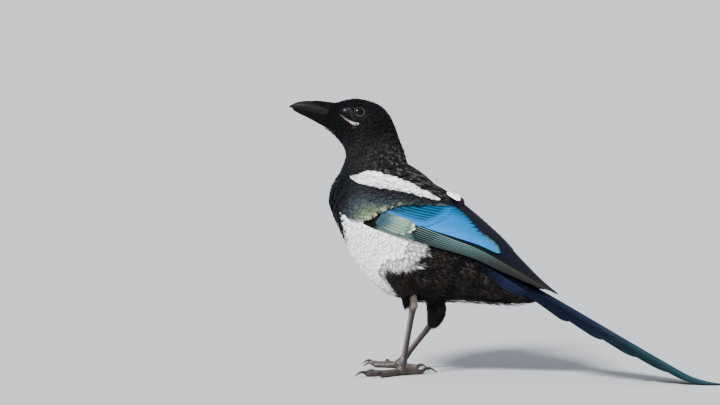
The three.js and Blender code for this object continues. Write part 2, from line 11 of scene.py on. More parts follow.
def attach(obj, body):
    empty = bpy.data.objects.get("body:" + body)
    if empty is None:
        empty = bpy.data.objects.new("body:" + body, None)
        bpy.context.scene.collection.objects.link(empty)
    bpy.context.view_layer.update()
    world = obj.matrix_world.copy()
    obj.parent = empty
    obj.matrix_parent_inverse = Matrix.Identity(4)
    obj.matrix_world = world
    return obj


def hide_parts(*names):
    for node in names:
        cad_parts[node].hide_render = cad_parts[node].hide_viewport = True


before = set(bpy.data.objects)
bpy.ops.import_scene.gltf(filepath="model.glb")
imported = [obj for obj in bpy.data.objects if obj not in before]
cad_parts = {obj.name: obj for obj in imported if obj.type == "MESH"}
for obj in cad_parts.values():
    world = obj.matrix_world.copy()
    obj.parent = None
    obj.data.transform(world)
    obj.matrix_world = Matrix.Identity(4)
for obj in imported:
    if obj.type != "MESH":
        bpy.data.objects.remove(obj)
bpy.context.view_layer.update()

# The skin of the head, neck, trunk and thighs, in one piece. On the real bird it is thin and loose,
# and carries every feather. Here the body's forms are wrapped one by one, then fused and smoothed.
# Sizes are in millimetres. The bill points along -X, and +Y is the bird's right.
MIDDLE_X = 84.6  # from the heels to the middle of the whole length, which stands over the origin
BODY_START = (-30.0, 128.0)  # x and z of the front end of the body's axis
BODY_PITCH = math.radians(25.4)
HEAD_TURN = math.radians(15)
NECK_X = -20.0  # the upright line that the head turns on
TURN_FROM_Z, TURN_TO_Z = 145.0, 180.0

# Trunk stations: place along the axis, back, widest level and belly above the axis, half width
TRUNK = [
    (-22, 6, 2, -2, 4), (-20.5, 14, 1, -9, 14), (-16, 21, -1, -15, 23), (-9, 29, -4, -20.5, 30),
    (0, 34.5, -7, -27, 35), (12, 39, -8.5, -37, 38.5), (27, 38.5, -8, -47, 40),
    (45, 34.5, -6, -53.5, 40), (62, 30.5, -3, -52, 38), (80, 26, 0, -44, 35),
    (100, 21, 1, -33.5, 30), (118, 15, 0, -25.5, 24), (134, 9.5, -2, -18.5, 17.5),
    (148, 4.5, -3, -11, 11), (154, 1.5, -3.5, -7.5, 5),
]
# Neck and head ribs: number, then x and z on the nape or crown, x and z on the throat, half width
NECK = [
    (0, 1, 126, -35, 112, 24), (1, 3, 141, -44.5, 121, 28), (2, 4.4, 151, -48.5, 131, 28.5),
    (3, 3.4, 158, -47, 142.5, 26.5), (4, 1, 166, -43, 153, 23.5), (5, -2, 173, -41.3, 160, 21),
    (6, -4, 179.4, -42.8, 165.5, 19.5), (7, -6.8, 186.2, -45.2, 169.5, 18.7),
    (8, -10.8, 192.5, -48, 172.8, 18), (9, -17, 197.8, -50.4, 175.4, 17.3),
    (10, -25, 200.6, -52.6, 177.4, 16.6), (11, -33, 202, -54.4, 179, 15.2),
    (12, -40, 201.2, -55.8, 180.4, 13), (13, -46, 199.6, -57, 181.6, 10.4),
    (14, -51, 198.6, -58.4, 183.4, 7.4),
]
# Thigh joints: number, x, y and z of the middle, then the radius fore and aft, and across
THIGHS = {
    "left": [
        (0, 2, -26, 95, 9, 7), (1, 5, -26.6, 88, 16, 11.5), (2, 9.5, -26, 77, 14, 11.5),
        (3, 12.6, -22.6, 67, 9.6, 9), (4, 14.8, -18.8, 60.5, 6, 5.8), (5, 16.4, -17.3, 56.2, 4.2, 4.1),
    ],
    "right": [
        (0, 4, 26, 88, 9, 7), (1, 9, 26, 80, 16, 11.5), (2, 17.5, 22.4, 64, 11, 10),
        (3, 21, 19.6, 52, 7.6, 7.2), (4, 22.2, 17.8, 43.5, 7.2, 6.6), (5, 20.6, 17.3, 37, 5.2, 5),
        (6, 17.8, 17.6, 33.4, 3.4, 3.4),
    ],
}
COAT = {"trunk": 2.0, "neck": 1.7, "face": 1.1, "thigh": 1.4}  # depth of the feathers over the skin


def in_place(points):
    """Points in metres, with the middle of the bird's length over the origin."""
    return (np.asarray(points, float) - (MIDDLE_X, 0, 0)) * 0.001


def along(rows, s):
    """The columns of a table of stations, read at s on smooth curves through them."""
    rows = np.asarray(rows, float)
    at, values = rows[:, 0], rows[:, 1:]
    last = len(at) - 1
    before = np.maximum(np.arange(last + 1) - 1, 0)
    after = np.minimum(np.arange(last + 1) + 1, last)
    slopes = (values[after] - values[before]) / (at[after] - at[before])[:, None]
    s = np.asarray(s, float)
    i = np.clip(np.searchsorted(at, s) - 1, 0, last - 1)
    step = at[i + 1] - at[i]
    t = np.clip((s - at[i]) / step, 0, 1)[..., None]
    step = step[..., None]
    return (
        (2 * t**3 - 3 * t**2 + 1) * values[i] + (t**3 - 2 * t**2 + t) * step * slopes[i]
        + (3 * t**2 - 2 * t**3) * values[i + 1] + (t**3 - t**2) * step * slopes[i + 1]
    )


def beside(s, n, y):
    """A point beside the body's axis: s along it, n above it and y to the right."""
    x = BODY_START[0] + math.cos(BODY_PITCH) * s + math.sin(BODY_PITCH) * n
    z = BODY_START[1] - math.sin(BODY_PITCH) * s + math.cos(BODY_PITCH) * n
    return np.stack(np.broadcast_arrays(x, y, z), -1)


def smooth(a, b, x):
    """0 below a, 1 above b, and a soft step between them."""
    t = np.clip((x - a) / (b - a), 0, 1)
    return t * t * (3 - 2 * t)


def unit(v):
    return v / np.maximum(np.linalg.norm(v, axis=-1, keepdims=True), 1e-9)


def turned(points):
    """The head's turn, which grows with height so that the neck twists smoothly."""
    angle = HEAD_TURN * smooth(TURN_FROM_Z, TURN_TO_Z, points[..., 2])
    x, y = points[..., 0] - NECK_X, points[..., 1]
    turned_x = x * np.cos(angle) - y * np.sin(angle) + NECK_X
    return np.stack([turned_x, x * np.sin(angle) + y * np.cos(angle), points[..., 2]], -1)


def trunk_skin(s, angle, h=0.0):
    """A point on the trunk, with the angle from the back round to the belly, h above the surface."""
    back, level, belly, half = np.moveaxis(along(TRUNK, s), -1, 0)
    depth = np.where(np.cos(angle) > 0, back - level, level - belly) + h
    return beside(s, level + depth * np.cos(angle), (half + h) * np.sin(angle))


def neck_skin(t, angle, h=0.0):
    """A point on the neck and head: t from breast to face, angle from the nape or crown to the throat."""
    back_x, back_z, front_x, front_z, half = np.moveaxis(along(NECK, np.asarray(t) * (len(NECK) - 1)), -1, 0)
    reach_x, reach_z = (back_x - front_x) / 2, (back_z - front_z) / 2
    depth = np.hypot(reach_x, reach_z)
    share = (depth + h) * np.cos(angle) / depth
    x = (back_x + front_x) / 2 + reach_x * share
    z = (back_z + front_z) / 2 + reach_z * share
    return turned(np.stack(np.broadcast_arrays(x, (half + h) * np.sin(angle), z), -1))


def limb_skin(joints, t, angle, h=0.0):
    """A point on a limb along a line of joints, with angle 0 in front."""
    last = len(joints) - 1
    row = along(joints, np.asarray(t, float) * last)
    nudge = 0.01
    way = along(joints, np.clip(t + nudge, 0, 1) * last) - along(joints, np.clip(t - nudge, 0, 1) * last)
    way = unit(way[..., :3])
    across = unit(np.array([0.0, 1.0, 0.0]) - way * way[..., 1:2])
    fore = np.cross(across, way)
    size_fore, size_across = row[..., 3] + h, row[..., 4] + h
    return (
        row[..., :3] + fore * (size_fore * np.cos(angle))[..., None]
        + across * (size_across * np.sin(angle))[..., None]
    )


def wrap(made, skin, around, rings):
    """Adds a closed form to a bmesh: a sphere whose every point is moved onto skin(t, angle)."""
    verts = bmesh.ops.create_uvsphere(made, u_segments=around, v_segments=rings, radius=1)["verts"]
    ball = np.array([v.co for v in verts])
    t = np.arccos(np.clip(ball[:, 2], -1, 1)) / math.pi
    angle = np.arctan2(ball[:, 1], ball[:, 0])
    points = skin(t, angle)
    pole = np.hypot(ball[:, 0], ball[:, 1]) < 1e-4
    points[pole] = (skin(t, angle * 0) + skin(t, angle * 0 + math.pi))[pole] / 2
    for vert, point in zip(verts, in_place(points)):
        vert.co = point
    return verts


def piece(name, made, finish=None):
    """A bmesh as an object of the model, with its faces outwards and its sides smooth."""
    bmesh.ops.recalc_face_normals(made, faces=made.faces)
    if made.calc_volume(signed=True) < 0:
        bmesh.ops.reverse_faces(made, faces=made.faces)
    mesh = bpy.data.meshes.new(name)
    made.to_mesh(mesh)
    made.free()
    mesh.shade_smooth()
    obj = bpy.data.objects.new(name, mesh)
    bpy.context.scene.collection.objects.link(obj)
    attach(obj, "root")
    if finish:
        mesh.materials.append(finish)
    return obj


def fuse(obj, voxel, passes):
    """Fuses an object's overlapping forms into one skin, and smooths the creases between them."""
    remesh = obj.modifiers.new("fuse", "REMESH")
    remesh.mode = "VOXEL"
    remesh.voxel_size = voxel * 0.001
    soften = obj.modifiers.new("soften", "SMOOTH")
    soften.iterations = passes
    mesh = bpy.data.meshes.new_from_object(obj.evaluated_get(bpy.context.evaluated_depsgraph_get()))
    obj.modifiers.clear()
    obj.data = mesh
    mesh.shade_smooth()


def stretch(a, b, t):
    return a + (b - a) * t


SKIN_VOXEL, SKIN_PASSES = 1.15, 6
FIRST_S, LAST_S = TRUNK[0][0], TRUNK[-1][0]


def trunk(t, angle, h=-COAT["trunk"]):
    return trunk_skin(stretch(FIRST_S, LAST_S, t), angle, h)


def neck(t, angle):
    return neck_skin(t, angle, -stretch(COAT["neck"], COAT["face"], t))


def thigh(side, t, angle):
    return limb_skin(THIGHS[side], t, angle, -COAT["thigh"] * (1 - 0.5 * t))


made = bmesh.new()
wrap(made, trunk, 72, 72)
wrap(made, neck, 72, 72)
for side in THIGHS:
    wrap(made, partial(thigh, side), 40, 36)
skin = piece("skin", made)
fuse(skin, SKIN_VOXEL, SKIN_PASSES)
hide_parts("head", "neck", "torso", "thigh_left", "thigh_right")

# The markings, which skin and feathers share: a black head, breast, back and vent round a white belly
# and white shoulders. A young bird's blacks are brownish. Each is worked out from its place.
WHITE = (0.9, 0.885, 0.865)
# Borders of the white belly: degrees round from the back, and the place along the body's axis
BIB_EDGE = [(90, 3), (96, 4), (101, 8), (112, 10.5), (125, 12), (135, 13), (180, 14)]
VENT_EDGE = [
    (84, 73), (95, 73.5), (104, 73), (110, 71), (117, 68), (128, 64), (146, 61.5), (158, 58.5), (180, 57),
]
THIGH_TOP = 77.0  # height of the thighs' black patch
FAWN_FROM = 0.72  # a feather of the mantle is fawn where its second random number is over this
THIGH_FRONT = (1.2, 73.7, 0.48)  # x and height of a point on the patch's front edge, and its slope
# Small marks on the face: place along the neck and head, degrees round, radius and colour. The bright
# ones in front of the eye are painted glints of light on the bristles there.
FACE_MARKS_AND_GLINTS = [
    (0.793, 68, 1.1, 0x8C8C94), (0.764, 63, 0.9, 0x76767E), (0.754, 56, 0.8, 0x54545A),
    (0.729, 71, 1.0, 0x504E54), (0.70, 76, 1.0, 0x5C585C), (0.671, 80, 1.1, 0x6C6666),
    (0.60, 98, 1.1, 0x6C6662), (0.585, 103, 0.9, 0x4A4642),
]


def tone(code):
    """A colour's red, green and blue in linear light, from a six-figure hexadecimal number."""
    parts = np.array([code >> 16 & 255, code >> 8 & 255, code & 255]) / 255
    return np.where(parts <= 0.04045, parts / 12.92, ((parts + 0.055) / 1.055) ** 2.4)


def mix(a, b, share):
    share = np.asarray(share)[..., None]
    return a * (1 - share) + b * share


def clouds(p, size):
    """A soft mottle between 0 and 1, from a few sine waves that cross each other."""
    x, y, z = np.moveaxis(p / size, -1, 0)
    waves = np.sin(2.1 * x + 1.3 * y) + np.sin(1.7 * z - 2.3 * y + 1) + np.sin(2.9 * x - 1.9 * z + 2)
    return np.clip(0.5 + waves / 5, 0, 1)


def from_axis(p):
    """How far along the body's axis points p are, and how high over it."""
    x, z = p[..., 0] - BODY_START[0], p[..., 2] - BODY_START[1]
    s = x * math.cos(BODY_PITCH) - z * math.sin(BODY_PITCH)
    return s, x * math.sin(BODY_PITCH) + z * math.cos(BODY_PITCH)


def body_place(p):
    """Where points p lie on the trunk: s along its axis, and degrees round from the back."""
    s, n = from_axis(p)
    back, level, belly, half = np.moveaxis(along(TRUNK, s), -1, 0)
    up = (n - level) / np.where(n > level, back - level, level - belly)
    return s, np.degrees(np.arctan2(np.abs(p[..., 1]) / half, up))


def white_share(p, rough):
    """1 on the white belly and flanks and 0 on the black, with rough moving the border in mm."""
    x, _, z = np.moveaxis(p, -1, 0)
    s, angle = body_place(p)
    front = smooth(-1.2, 1.2, s - np.interp(angle, *zip(*BIB_EDGE)) + 0.6 * rough)
    rear = smooth(-2.2, 2.2, np.interp(angle, *zip(*VENT_EDGE)) - s + 2.4 * rough)
    patch_x, patch_z, slope = THIGH_FRONT
    thigh_front = patch_x + slope * (patch_z - z)
    thigh = smooth(-1.5, 1.5, THIGH_TOP - z + rough) * smooth(-1.2, 1.2, x - thigh_front + 0.5 * rough)
    return front * rear * smooth(76, 84, angle) * (1 - thigh)


def markings(p, draw):
    """The coat's colour at points p. draw is a pair of random numbers for each point."""
    x, _, z = np.moveaxis(p, -1, 0)
    s, angle = body_place(p)
    head = smooth(165, 178, z)
    mottle = clouds(p, 7.0)
    colour = np.broadcast_to(tone(0x0D0F15), p.shape)
    colour = mix(colour, tone(0x050507), head)
    cheek = smooth(172, 180, z) * (1 - smooth(188, 194, z)) * smooth(-30, -20, x)
    colour = mix(colour, tone(0x141415), 0.5 * cheek * mottle)
    collar = smooth(144, 154, z) * (1 - smooth(170, 182, z)) * smooth(-47, -30, x)
    colour = mix(colour, tone(0x1D1A18), collar * (0.2 + 0.8 * mottle))
    mantle = smooth(-10, 4, s) * (1 - smooth(48, 62, angle)) * (1 - head) * (1 - smooth(62, 84, s))
    colour = mix(colour, tone(0x1D1C1E), 0.8 * mantle)
    vent = smooth(54, 66, s) * smooth(80, 92, angle)
    colour = mix(colour, tone(0x2C2622), vent * (0.15 + 0.85 * mottle))
    thighs = smooth(78, 70, z) * (1 - smooth(22, 34, x))
    colour = mix(colour, tone(0x2A2421), thighs * smooth(52, 66, z))
    colour = colour * (0.7 + 0.5 * draw[..., 0:1])
    fawn = smooth(FAWN_FROM, 0.86, draw[..., 1])
    colour = mix(colour, tone(0x5A544E), fawn * mantle * stretch(0.15, 0.6, smooth(2, 20, s)))
    paler = smooth(72, 96, s) * smooth(0.35, 0.7, mottle)  # grey-brown streaks low on the rear flank
    colour = mix(colour, tone(0x5C5248), 0.28 * vent * paler * smooth(0.3, 0.9, draw[..., 1]))
    # The small marks on the face, the bright ones before the eye being painted glints
    for t, degrees, radius, code in FACE_MARKS_AND_GLINTS:
        for sign in (-1, 1):
            spot = neck_skin(t, sign * math.radians(degrees))
            near = np.exp(-(((p - spot) ** 2).sum(-1) / radius**2))
            colour = mix(colour, tone(code), np.clip(1.5 * near, 0, 0.9))
    white = np.array(WHITE) * (0.95 + 0.07 * draw[..., 1:2])
    cream = smooth(120, 165, angle) * (1 - smooth(10, 45, s))
    white = mix(white, white * (1.0, 0.93, 0.8), 0.6 * cream)
    return mix(colour, white, white_share(p, 4 * (draw[..., 0] - 0.5)))


class Wire:
    """A socket of a material's nodes, so that sums on sockets are written as sums."""

    def __init__(self, tree, socket):
        self.tree = tree
        self.socket = socket

    def sum(self, operation, other):
        made = self.tree.nodes.new("ShaderNodeMath")
        made.operation = operation
        for socket, value in zip(made.inputs, (self, other)):
            if isinstance(value, Wire):
                self.tree.links.new(value.socket, socket)
            else:
                socket.default_value = value
        return Wire(self.tree, made.outputs[0])

    def __add__(self, other):
        return self.sum("ADD", other)

    def __mul__(self, other):
        return self.sum("MULTIPLY", other)

    def __pow__(self, other):
        return self.sum("POWER", other)

    __radd__ = __add__
    __rmul__ = __mul__


class Finish:
    """A procedural material, with its shader's own sockets set at once."""

    def __init__(self, name, **constants):
        self.material = bpy.data.materials.new(name)
        self.material.use_nodes = True
        self.tree = self.material.node_tree
        self.shader = self.tree.nodes["Principled BSDF"]
        for socket, value in constants.items():
            self.shader.inputs[socket.replace("_", " ")].default_value = value

    def node(self, kind, settings=None, sockets=None, out=0):
        """Adds a node: its settings come first, then its sockets' values or links."""
        made = self.tree.nodes.new("ShaderNode" + kind)
        for key, value in (settings or {}).items():
            setattr(made, key, value)
        for key, value in (sockets or {}).items():
            if isinstance(value, Wire):
                self.tree.links.new(value.socket, made.inputs[key])
            else:
                made.inputs[key].default_value = value
        return Wire(self.tree, made.outputs[out])

    def place(self):
        """Where each point is on its piece, in metres."""
        return self.node("TexCoord", out=3)

    def scaled(self, place, *scale):
        return self.node("Mapping", None, {"Vector": place, "Scale": scale})

    def noise(self, place, scale, detail):
        return self.node("TexNoise", None, {"Vector": place, "Scale": scale, "Detail": detail})

    def tinted(self, shade):
        """The colour that each point carries, made paler or darker by shade."""
        tint = self.node("Attribute", {"attribute_name": "tint"})
        return self.node("VectorMath", {"operation": "SCALE"}, {0: tint, "Scale": shade})

    def blend(self, factor, a, b):
        """A mix of two colours, each a linear red, green and blue."""
        return self.node("Mix", {"data_type": "RGBA"}, {0: factor, 6: (*a, 1), 7: (*b, 1)}, out=2)

    def bump(self, height, strength, distance):
        return self.node("Bump", None, {"Height": height, "Strength": strength, "Distance": distance})

    def feed(self, **sockets):
        for name, value in sockets.items():
            self.tree.links.new(value.socket, self.shader.inputs[name.replace("_", " ")])
        return self.material


def plumage(name, rough, gloss, contrast):
    """Body feathers: the colour that each feather carries, and fine barbs along it."""
    look = Finish(name, Specular_IOR_Level=gloss)
    barbs = look.noise(look.scaled(look.node("UVMap", {"uv_map": "Vane"}), 9.0, 1.2, 1.0), 1.0, 3.0)
    shaded = look.tinted(1 - contrast / 2 + contrast * barbs)
    dull = rough - 0.1 + 0.2 * barbs
    return look.feed(Base_Color=shaded, Roughness=dull, Normal=look.bump(barbs, 0.35, 0.0002))


black_coat = plumage("black plumage", 0.6, 0.1, 0.8)
white_coat = plumage("white plumage", 0.8, 0.15, 0.1)


def skin_finish():
    look = Finish("feathered skin", Specular_IOR_Level=0.15)
    down = look.noise(look.place(), 900.0, 4.0)
    shaded = look.tinted(0.6 + 0.5 * down)
    return look.feed(Base_Color=shaded, Roughness=0.7 + 0.2 * down, Normal=look.bump(down, 0.5, 0.0003))


def give_tint(mesh, colours):
    """Stores a linear colour on each point of a mesh, for its material to read."""
    layer = mesh.color_attributes.new("tint", "FLOAT_COLOR", "POINT")
    rgba = np.ones((len(colours), 4), np.float32)
    rgba[:, :3] = colours
    layer.data.foreach_set("color", rgba.ravel())


# The lie of the coat: at each point of the skin, which way feathers point and how big they grow. They
# run from the face back over the neck, along the trunk to the tail and down the thighs, and are
# smallest on the face and the heels.


def read(mesh, what):
    """The places or normals of a mesh's points, as an array."""
    values = np.empty(len(mesh.vertices) * 3, np.float32)
    mesh.vertices.foreach_get(what, values)
    return values.reshape(-1, 3).astype(float)


def millimetres(mesh):
    """The places of a mesh's points, in the millimetres that sizes here are in."""
    return read(mesh, "co") * 1000 + (MIDDLE_X, 0, 0)


skin_points, skin_normals = millimetres(skin.data), read(skin.data, "normal")
NECK_FORM, TRUNK_FORM, THIGH_FORM = 0, 1, 2


def grid_of(form, skin_of, ts, angles, forwards):
    """Samples of one form: places, the way its feathers lie, and where they are on it."""
    t, a = (m.ravel() for m in np.meshgrid(ts, angles, indexing="ij"))
    step = 0.01 * forwards
    way = unit(skin_of(t + step, a) - skin_of(t - step, a))
    return skin_of(t, a), way, np.full(len(t), form), t, a


grid_angles = np.linspace(-math.pi, math.pi, 73)[:-1]
grids = [
    grid_of(NECK_FORM, neck, np.linspace(0.04, 0.985, 90), grid_angles, -1),
    grid_of(TRUNK_FORM, trunk, np.linspace(0.03, 0.985, 110), grid_angles, 1),
    *(grid_of(THIGH_FORM, partial(thigh, side), np.linspace(0.03, 0.98, 50), grid_angles[::2], 1)
      for side in THIGHS),
]
form_points, form_ways, form_kinds, form_t, form_angles = (np.concatenate(part) for part in zip(*grids))


def finder(points):
    tree = kdtree.KDTree(len(points))
    for i, point in enumerate(points):
        tree.insert(point, i)
    tree.balance()
    return tree


form_tree = finder(form_points)
nearest = np.array([form_tree.find(p)[1] for p in skin_points])
lie = form_ways[nearest]
on_thigh = (form_kinds[nearest] == THIGH_FORM).astype(float)
on_neck = (form_kinds[nearest] == NECK_FORM).astype(float)
place_t = form_t[nearest]
place_angle = form_angles[nearest]
edges = np.empty(len(skin.data.edges) * 2, np.int64)
skin.data.edges.foreach_get("vertices", edges)
edges = edges.reshape(-1, 2)
degree = np.bincount(edges.ravel(), minlength=len(skin_points))


def spread(values, passes):
    """Values on the skin's points, each made the mean of its neighbours' and its own, over and over."""
    flat = values.ndim == 1
    values = values[:, None] if flat else values
    for _ in range(passes):
        total = np.stack([
            np.bincount(edges[:, 0], column[edges[:, 1]], len(column))
            + np.bincount(edges[:, 1], column[edges[:, 0]], len(column)) for column in values.T], -1)
        values = (values + total) / (1 + degree[:, None])
    return values[:, 0] if flat else values


lie = unit(spread(lie, 14))
soft_thigh = spread(on_thigh, 3)
# Distances between feathers: at places along the trunk, and from breast to face
TRUNK_GAPS = [(-20, 1.9), (10, 2.2), (60, 2.4), (150, 2.2)]
NECK_GAPS = [(0, 1.95), (0.25, 1.7), (0.55, 1.35), (0.8, 1.1), (1, 0.95)]
THIGH_GAPS = [(0, 1.8), (1, 1.2)]
spacing = np.interp(body_place(skin_points)[0], *zip(*TRUNK_GAPS))
spacing = np.where(on_thigh > 0.5, np.interp(place_t, *zip(*THIGH_GAPS)), spacing)
spacing = np.where(on_neck > 0.5, np.interp(place_t, *zip(*NECK_GAPS)), spacing)
spacing = spread(spacing, 10)
draws = np.random.default_rng(4).random((len(skin_points), 2)) * 0.2 + 0.4
give_tint(skin.data, markings(skin_points, draws))
skin.data.materials.append(skin_finish())

# Body feathers. Each real one is a soft vane on a fine shaft, with loose down at its root and barbs
# that part at its end. Here each is a thin closed blade laid over the skin, with finer blades at its
# end, or on the flanks, vent and thighs a loose fan of barbs. They are set apart by their own size.
UNWRAP_PATCH = 0.003  # size of one feather's patch on the unwrap of the skin
FEATHER_LENGTH = 3.5  # times the distance between feathers
FEATHER_WIDTH = 1.75
PATTERN_STEP = 40  # how far apart two feathers' places are in the pattern of barbs
HAIR_ROUND = 20  # radius that hairs lie round
WALK = 7  # points along each feather's middle line
VANE_THICK, BARB_THICK = 0.07, 0.05  # half the thickness of each
VANE_STATIONS = np.array([0, 0.24, 0.46, 0.66, 0.84, 1])
VANE_OUTLINE = np.array([0.3, 0.8, 1, 0.9, 0.6, 0])
END_BARBS = np.linspace(-1, 1, 6)


def scattered(points, gaps, seed, tries):
    """Picks places on the skin's faces, no two nearer than the gap there."""
    draw = np.random.default_rng(seed)
    squares = np.array([p.vertices[:] for p in skin.data.polygons])
    corners = np.concatenate([squares[:, [0, 1, 2]], squares[:, [0, 2, 3]]])
    a, b, c = (points[corners[:, k]] for k in range(3))
    area = np.linalg.norm(np.cross(b - a, c - a), axis=1)
    density = area / gaps[corners[:, 0]] ** 2
    chosen = draw.choice(len(corners), tries, p=density / density.sum())
    u, v = draw.random((2, tries, 1))
    over = (u + v) > 1
    u, v = np.where(over, 1 - u, u), np.where(over, 1 - v, v)
    places = a[chosen] * (1 - u - v) + b[chosen] * u + c[chosen] * v
    gap_at = gaps[corners[chosen, 0]]
    cells, kept = {}, []
    neighbours = [(i, j, k) for i in (-1, 0, 1) for j in (-1, 0, 1) for k in (-1, 0, 1)]
    keys = np.floor(places / gaps.max()).astype(int)
    for n, (key, spot, gap) in enumerate(zip(keys.tolist(), places.tolist(), gap_at.tolist())):
        around = (cells.get((key[0] + i, key[1] + j, key[2] + k), ()) for i, j, k in neighbours)
        near = any(
            (other[0] - spot[0]) ** 2 + (other[1] - spot[1]) ** 2 + (other[2] - spot[2]) ** 2 < gap * gap
            for cell in around for other in cell)
        if not near:
            cells.setdefault(tuple(key), []).append(spot)
            kept.append(n)
    return places[kept]


skin_tree = finder(skin_points)


def nearest_skin(points):
    return np.array([skin_tree.find(p)[1] for p in points])


def walk(roots, lengths, swing):
    """Middle lines of feathers over the skin: places, normals and sideways directions, WALK each."""
    lines = np.empty((3, len(roots), WALK, 3))
    place = roots.copy()
    index = nearest_skin(place)
    way = lie[index]
    side = np.cross(skin_normals[index], way)
    way = unit(way * np.cos(swing)[:, None] + side * np.sin(swing)[:, None])
    for k in range(WALK):
        index = nearest_skin(place)
        normal = skin_normals[index]
        place = place - normal * ((place - skin_points[index]) * normal).sum(-1, keepdims=True)
        way = unit(0.65 * way + 0.35 * lie[index])
        way = unit(way - normal * (way * normal).sum(-1, keepdims=True))
        lines[:, :, k] = place, normal, np.cross(normal, way)
        place = place + way * (lengths / (WALK - 1))[:, None]
    return lines


def lines_between(skin_of, start, end):
    """Middle lines from start to end, which are pairs of coordinates on skin_of(a, b, h)."""
    lines = np.empty((3, len(start), WALK, 3))
    nudge = 0.02
    for k, u in enumerate(np.linspace(0, 1, WALK)):
        at, before, after = (stretch(start, end, u + move).T for move in (0, -nudge, nudge))
        place = skin_of(*at, 0.0)
        way = unit(skin_of(*after, 0.0) - skin_of(*before, 0.0))
        normal = skin_of(*at, 1.0) - place
        normal = unit(normal - way * (normal * way).sum(-1, keepdims=True))
        lines[:, :, k] = place, normal, np.cross(normal, way)
    return lines


def on_lines(lines, which, u, x, h, round_over):
    """Points on feathers: u along the middle line, x to its side and h over the skin."""
    i = np.clip(np.floor(u * (WALK - 1)), 0, WALK - 2).astype(int)
    w = (u * (WALK - 1) - i)[..., None]
    place, normal, side = (line[which, i] * (1 - w) + line[which, i + 1] * w for line in lines)
    drop = x**2 / (2 * round_over)
    return place + side * x[..., None] + normal * (h - drop)[..., None]


def mesh_of(name, points, faces, tints, vane, patch):
    """A mesh from arrays, with a colour on each point and the feather's own and the bake's UV maps."""
    mesh = bpy.data.meshes.new(name)
    loops = np.concatenate([f.ravel() for f in faces])
    sizes = np.concatenate([np.full(len(f), f.shape[1]) for f in faces])
    mesh.vertices.add(len(points))
    mesh.vertices.foreach_set("co", in_place(points).ravel())
    mesh.loops.add(len(loops))
    mesh.loops.foreach_set("vertex_index", loops.astype(np.int32))
    mesh.polygons.add(len(sizes))
    starts = np.concatenate([[0], np.cumsum(sizes)[:-1]])
    mesh.polygons.foreach_set("loop_start", starts.astype(np.int32))
    mesh.update(calc_edges=True)
    for title, uv in (("OFBake", patch), ("Vane", vane)):
        layer = mesh.uv_layers.new(name=title)
        layer.uv.foreach_set("vector", uv[loops].astype(np.float32).ravel())
    give_tint(mesh, tints)
    mesh.validate()
    mesh.shade_smooth()
    return mesh


def coat_piece(mesh, finish, slot_name, *stands_for):
    """A mesh of feathers as an object of the model, named as the mesh is."""
    obj = bpy.data.objects.new(mesh.name, mesh)
    bpy.context.scene.collection.objects.link(obj)
    mesh.materials.append(finish)
    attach(obj, "root")
    if stands_for:
        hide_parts(*stands_for)


def tapered(rings, tips):
    """Closed spikes from rings of points, (count, steps, round, 3), and their tips: points and faces."""
    count, steps, around, _ = rings.shape
    points = np.concatenate([rings.reshape(count, -1, 3), tips[:, None]], 1)
    each = steps * around + 1
    j, k = (m.ravel() for m in np.meshgrid(np.arange(steps - 1), np.arange(around), indexing="ij"))
    after = (k + 1) % around
    sides = np.stack([j * around + k, j * around + after, (j + 1) * around + after, (j + 1) * around + k], -1)
    k = np.arange(around)
    last = (steps - 1) * around
    end = np.stack([last + k, last + (k + 1) % around, np.full(around, each - 1)], -1)
    root = np.arange(around)[::-1][None]
    start = (np.arange(count) * each)[:, None, None]
    faces = [(start + part).reshape(-1, part.shape[1]) for part in (sides, end, root)]
    return points, faces


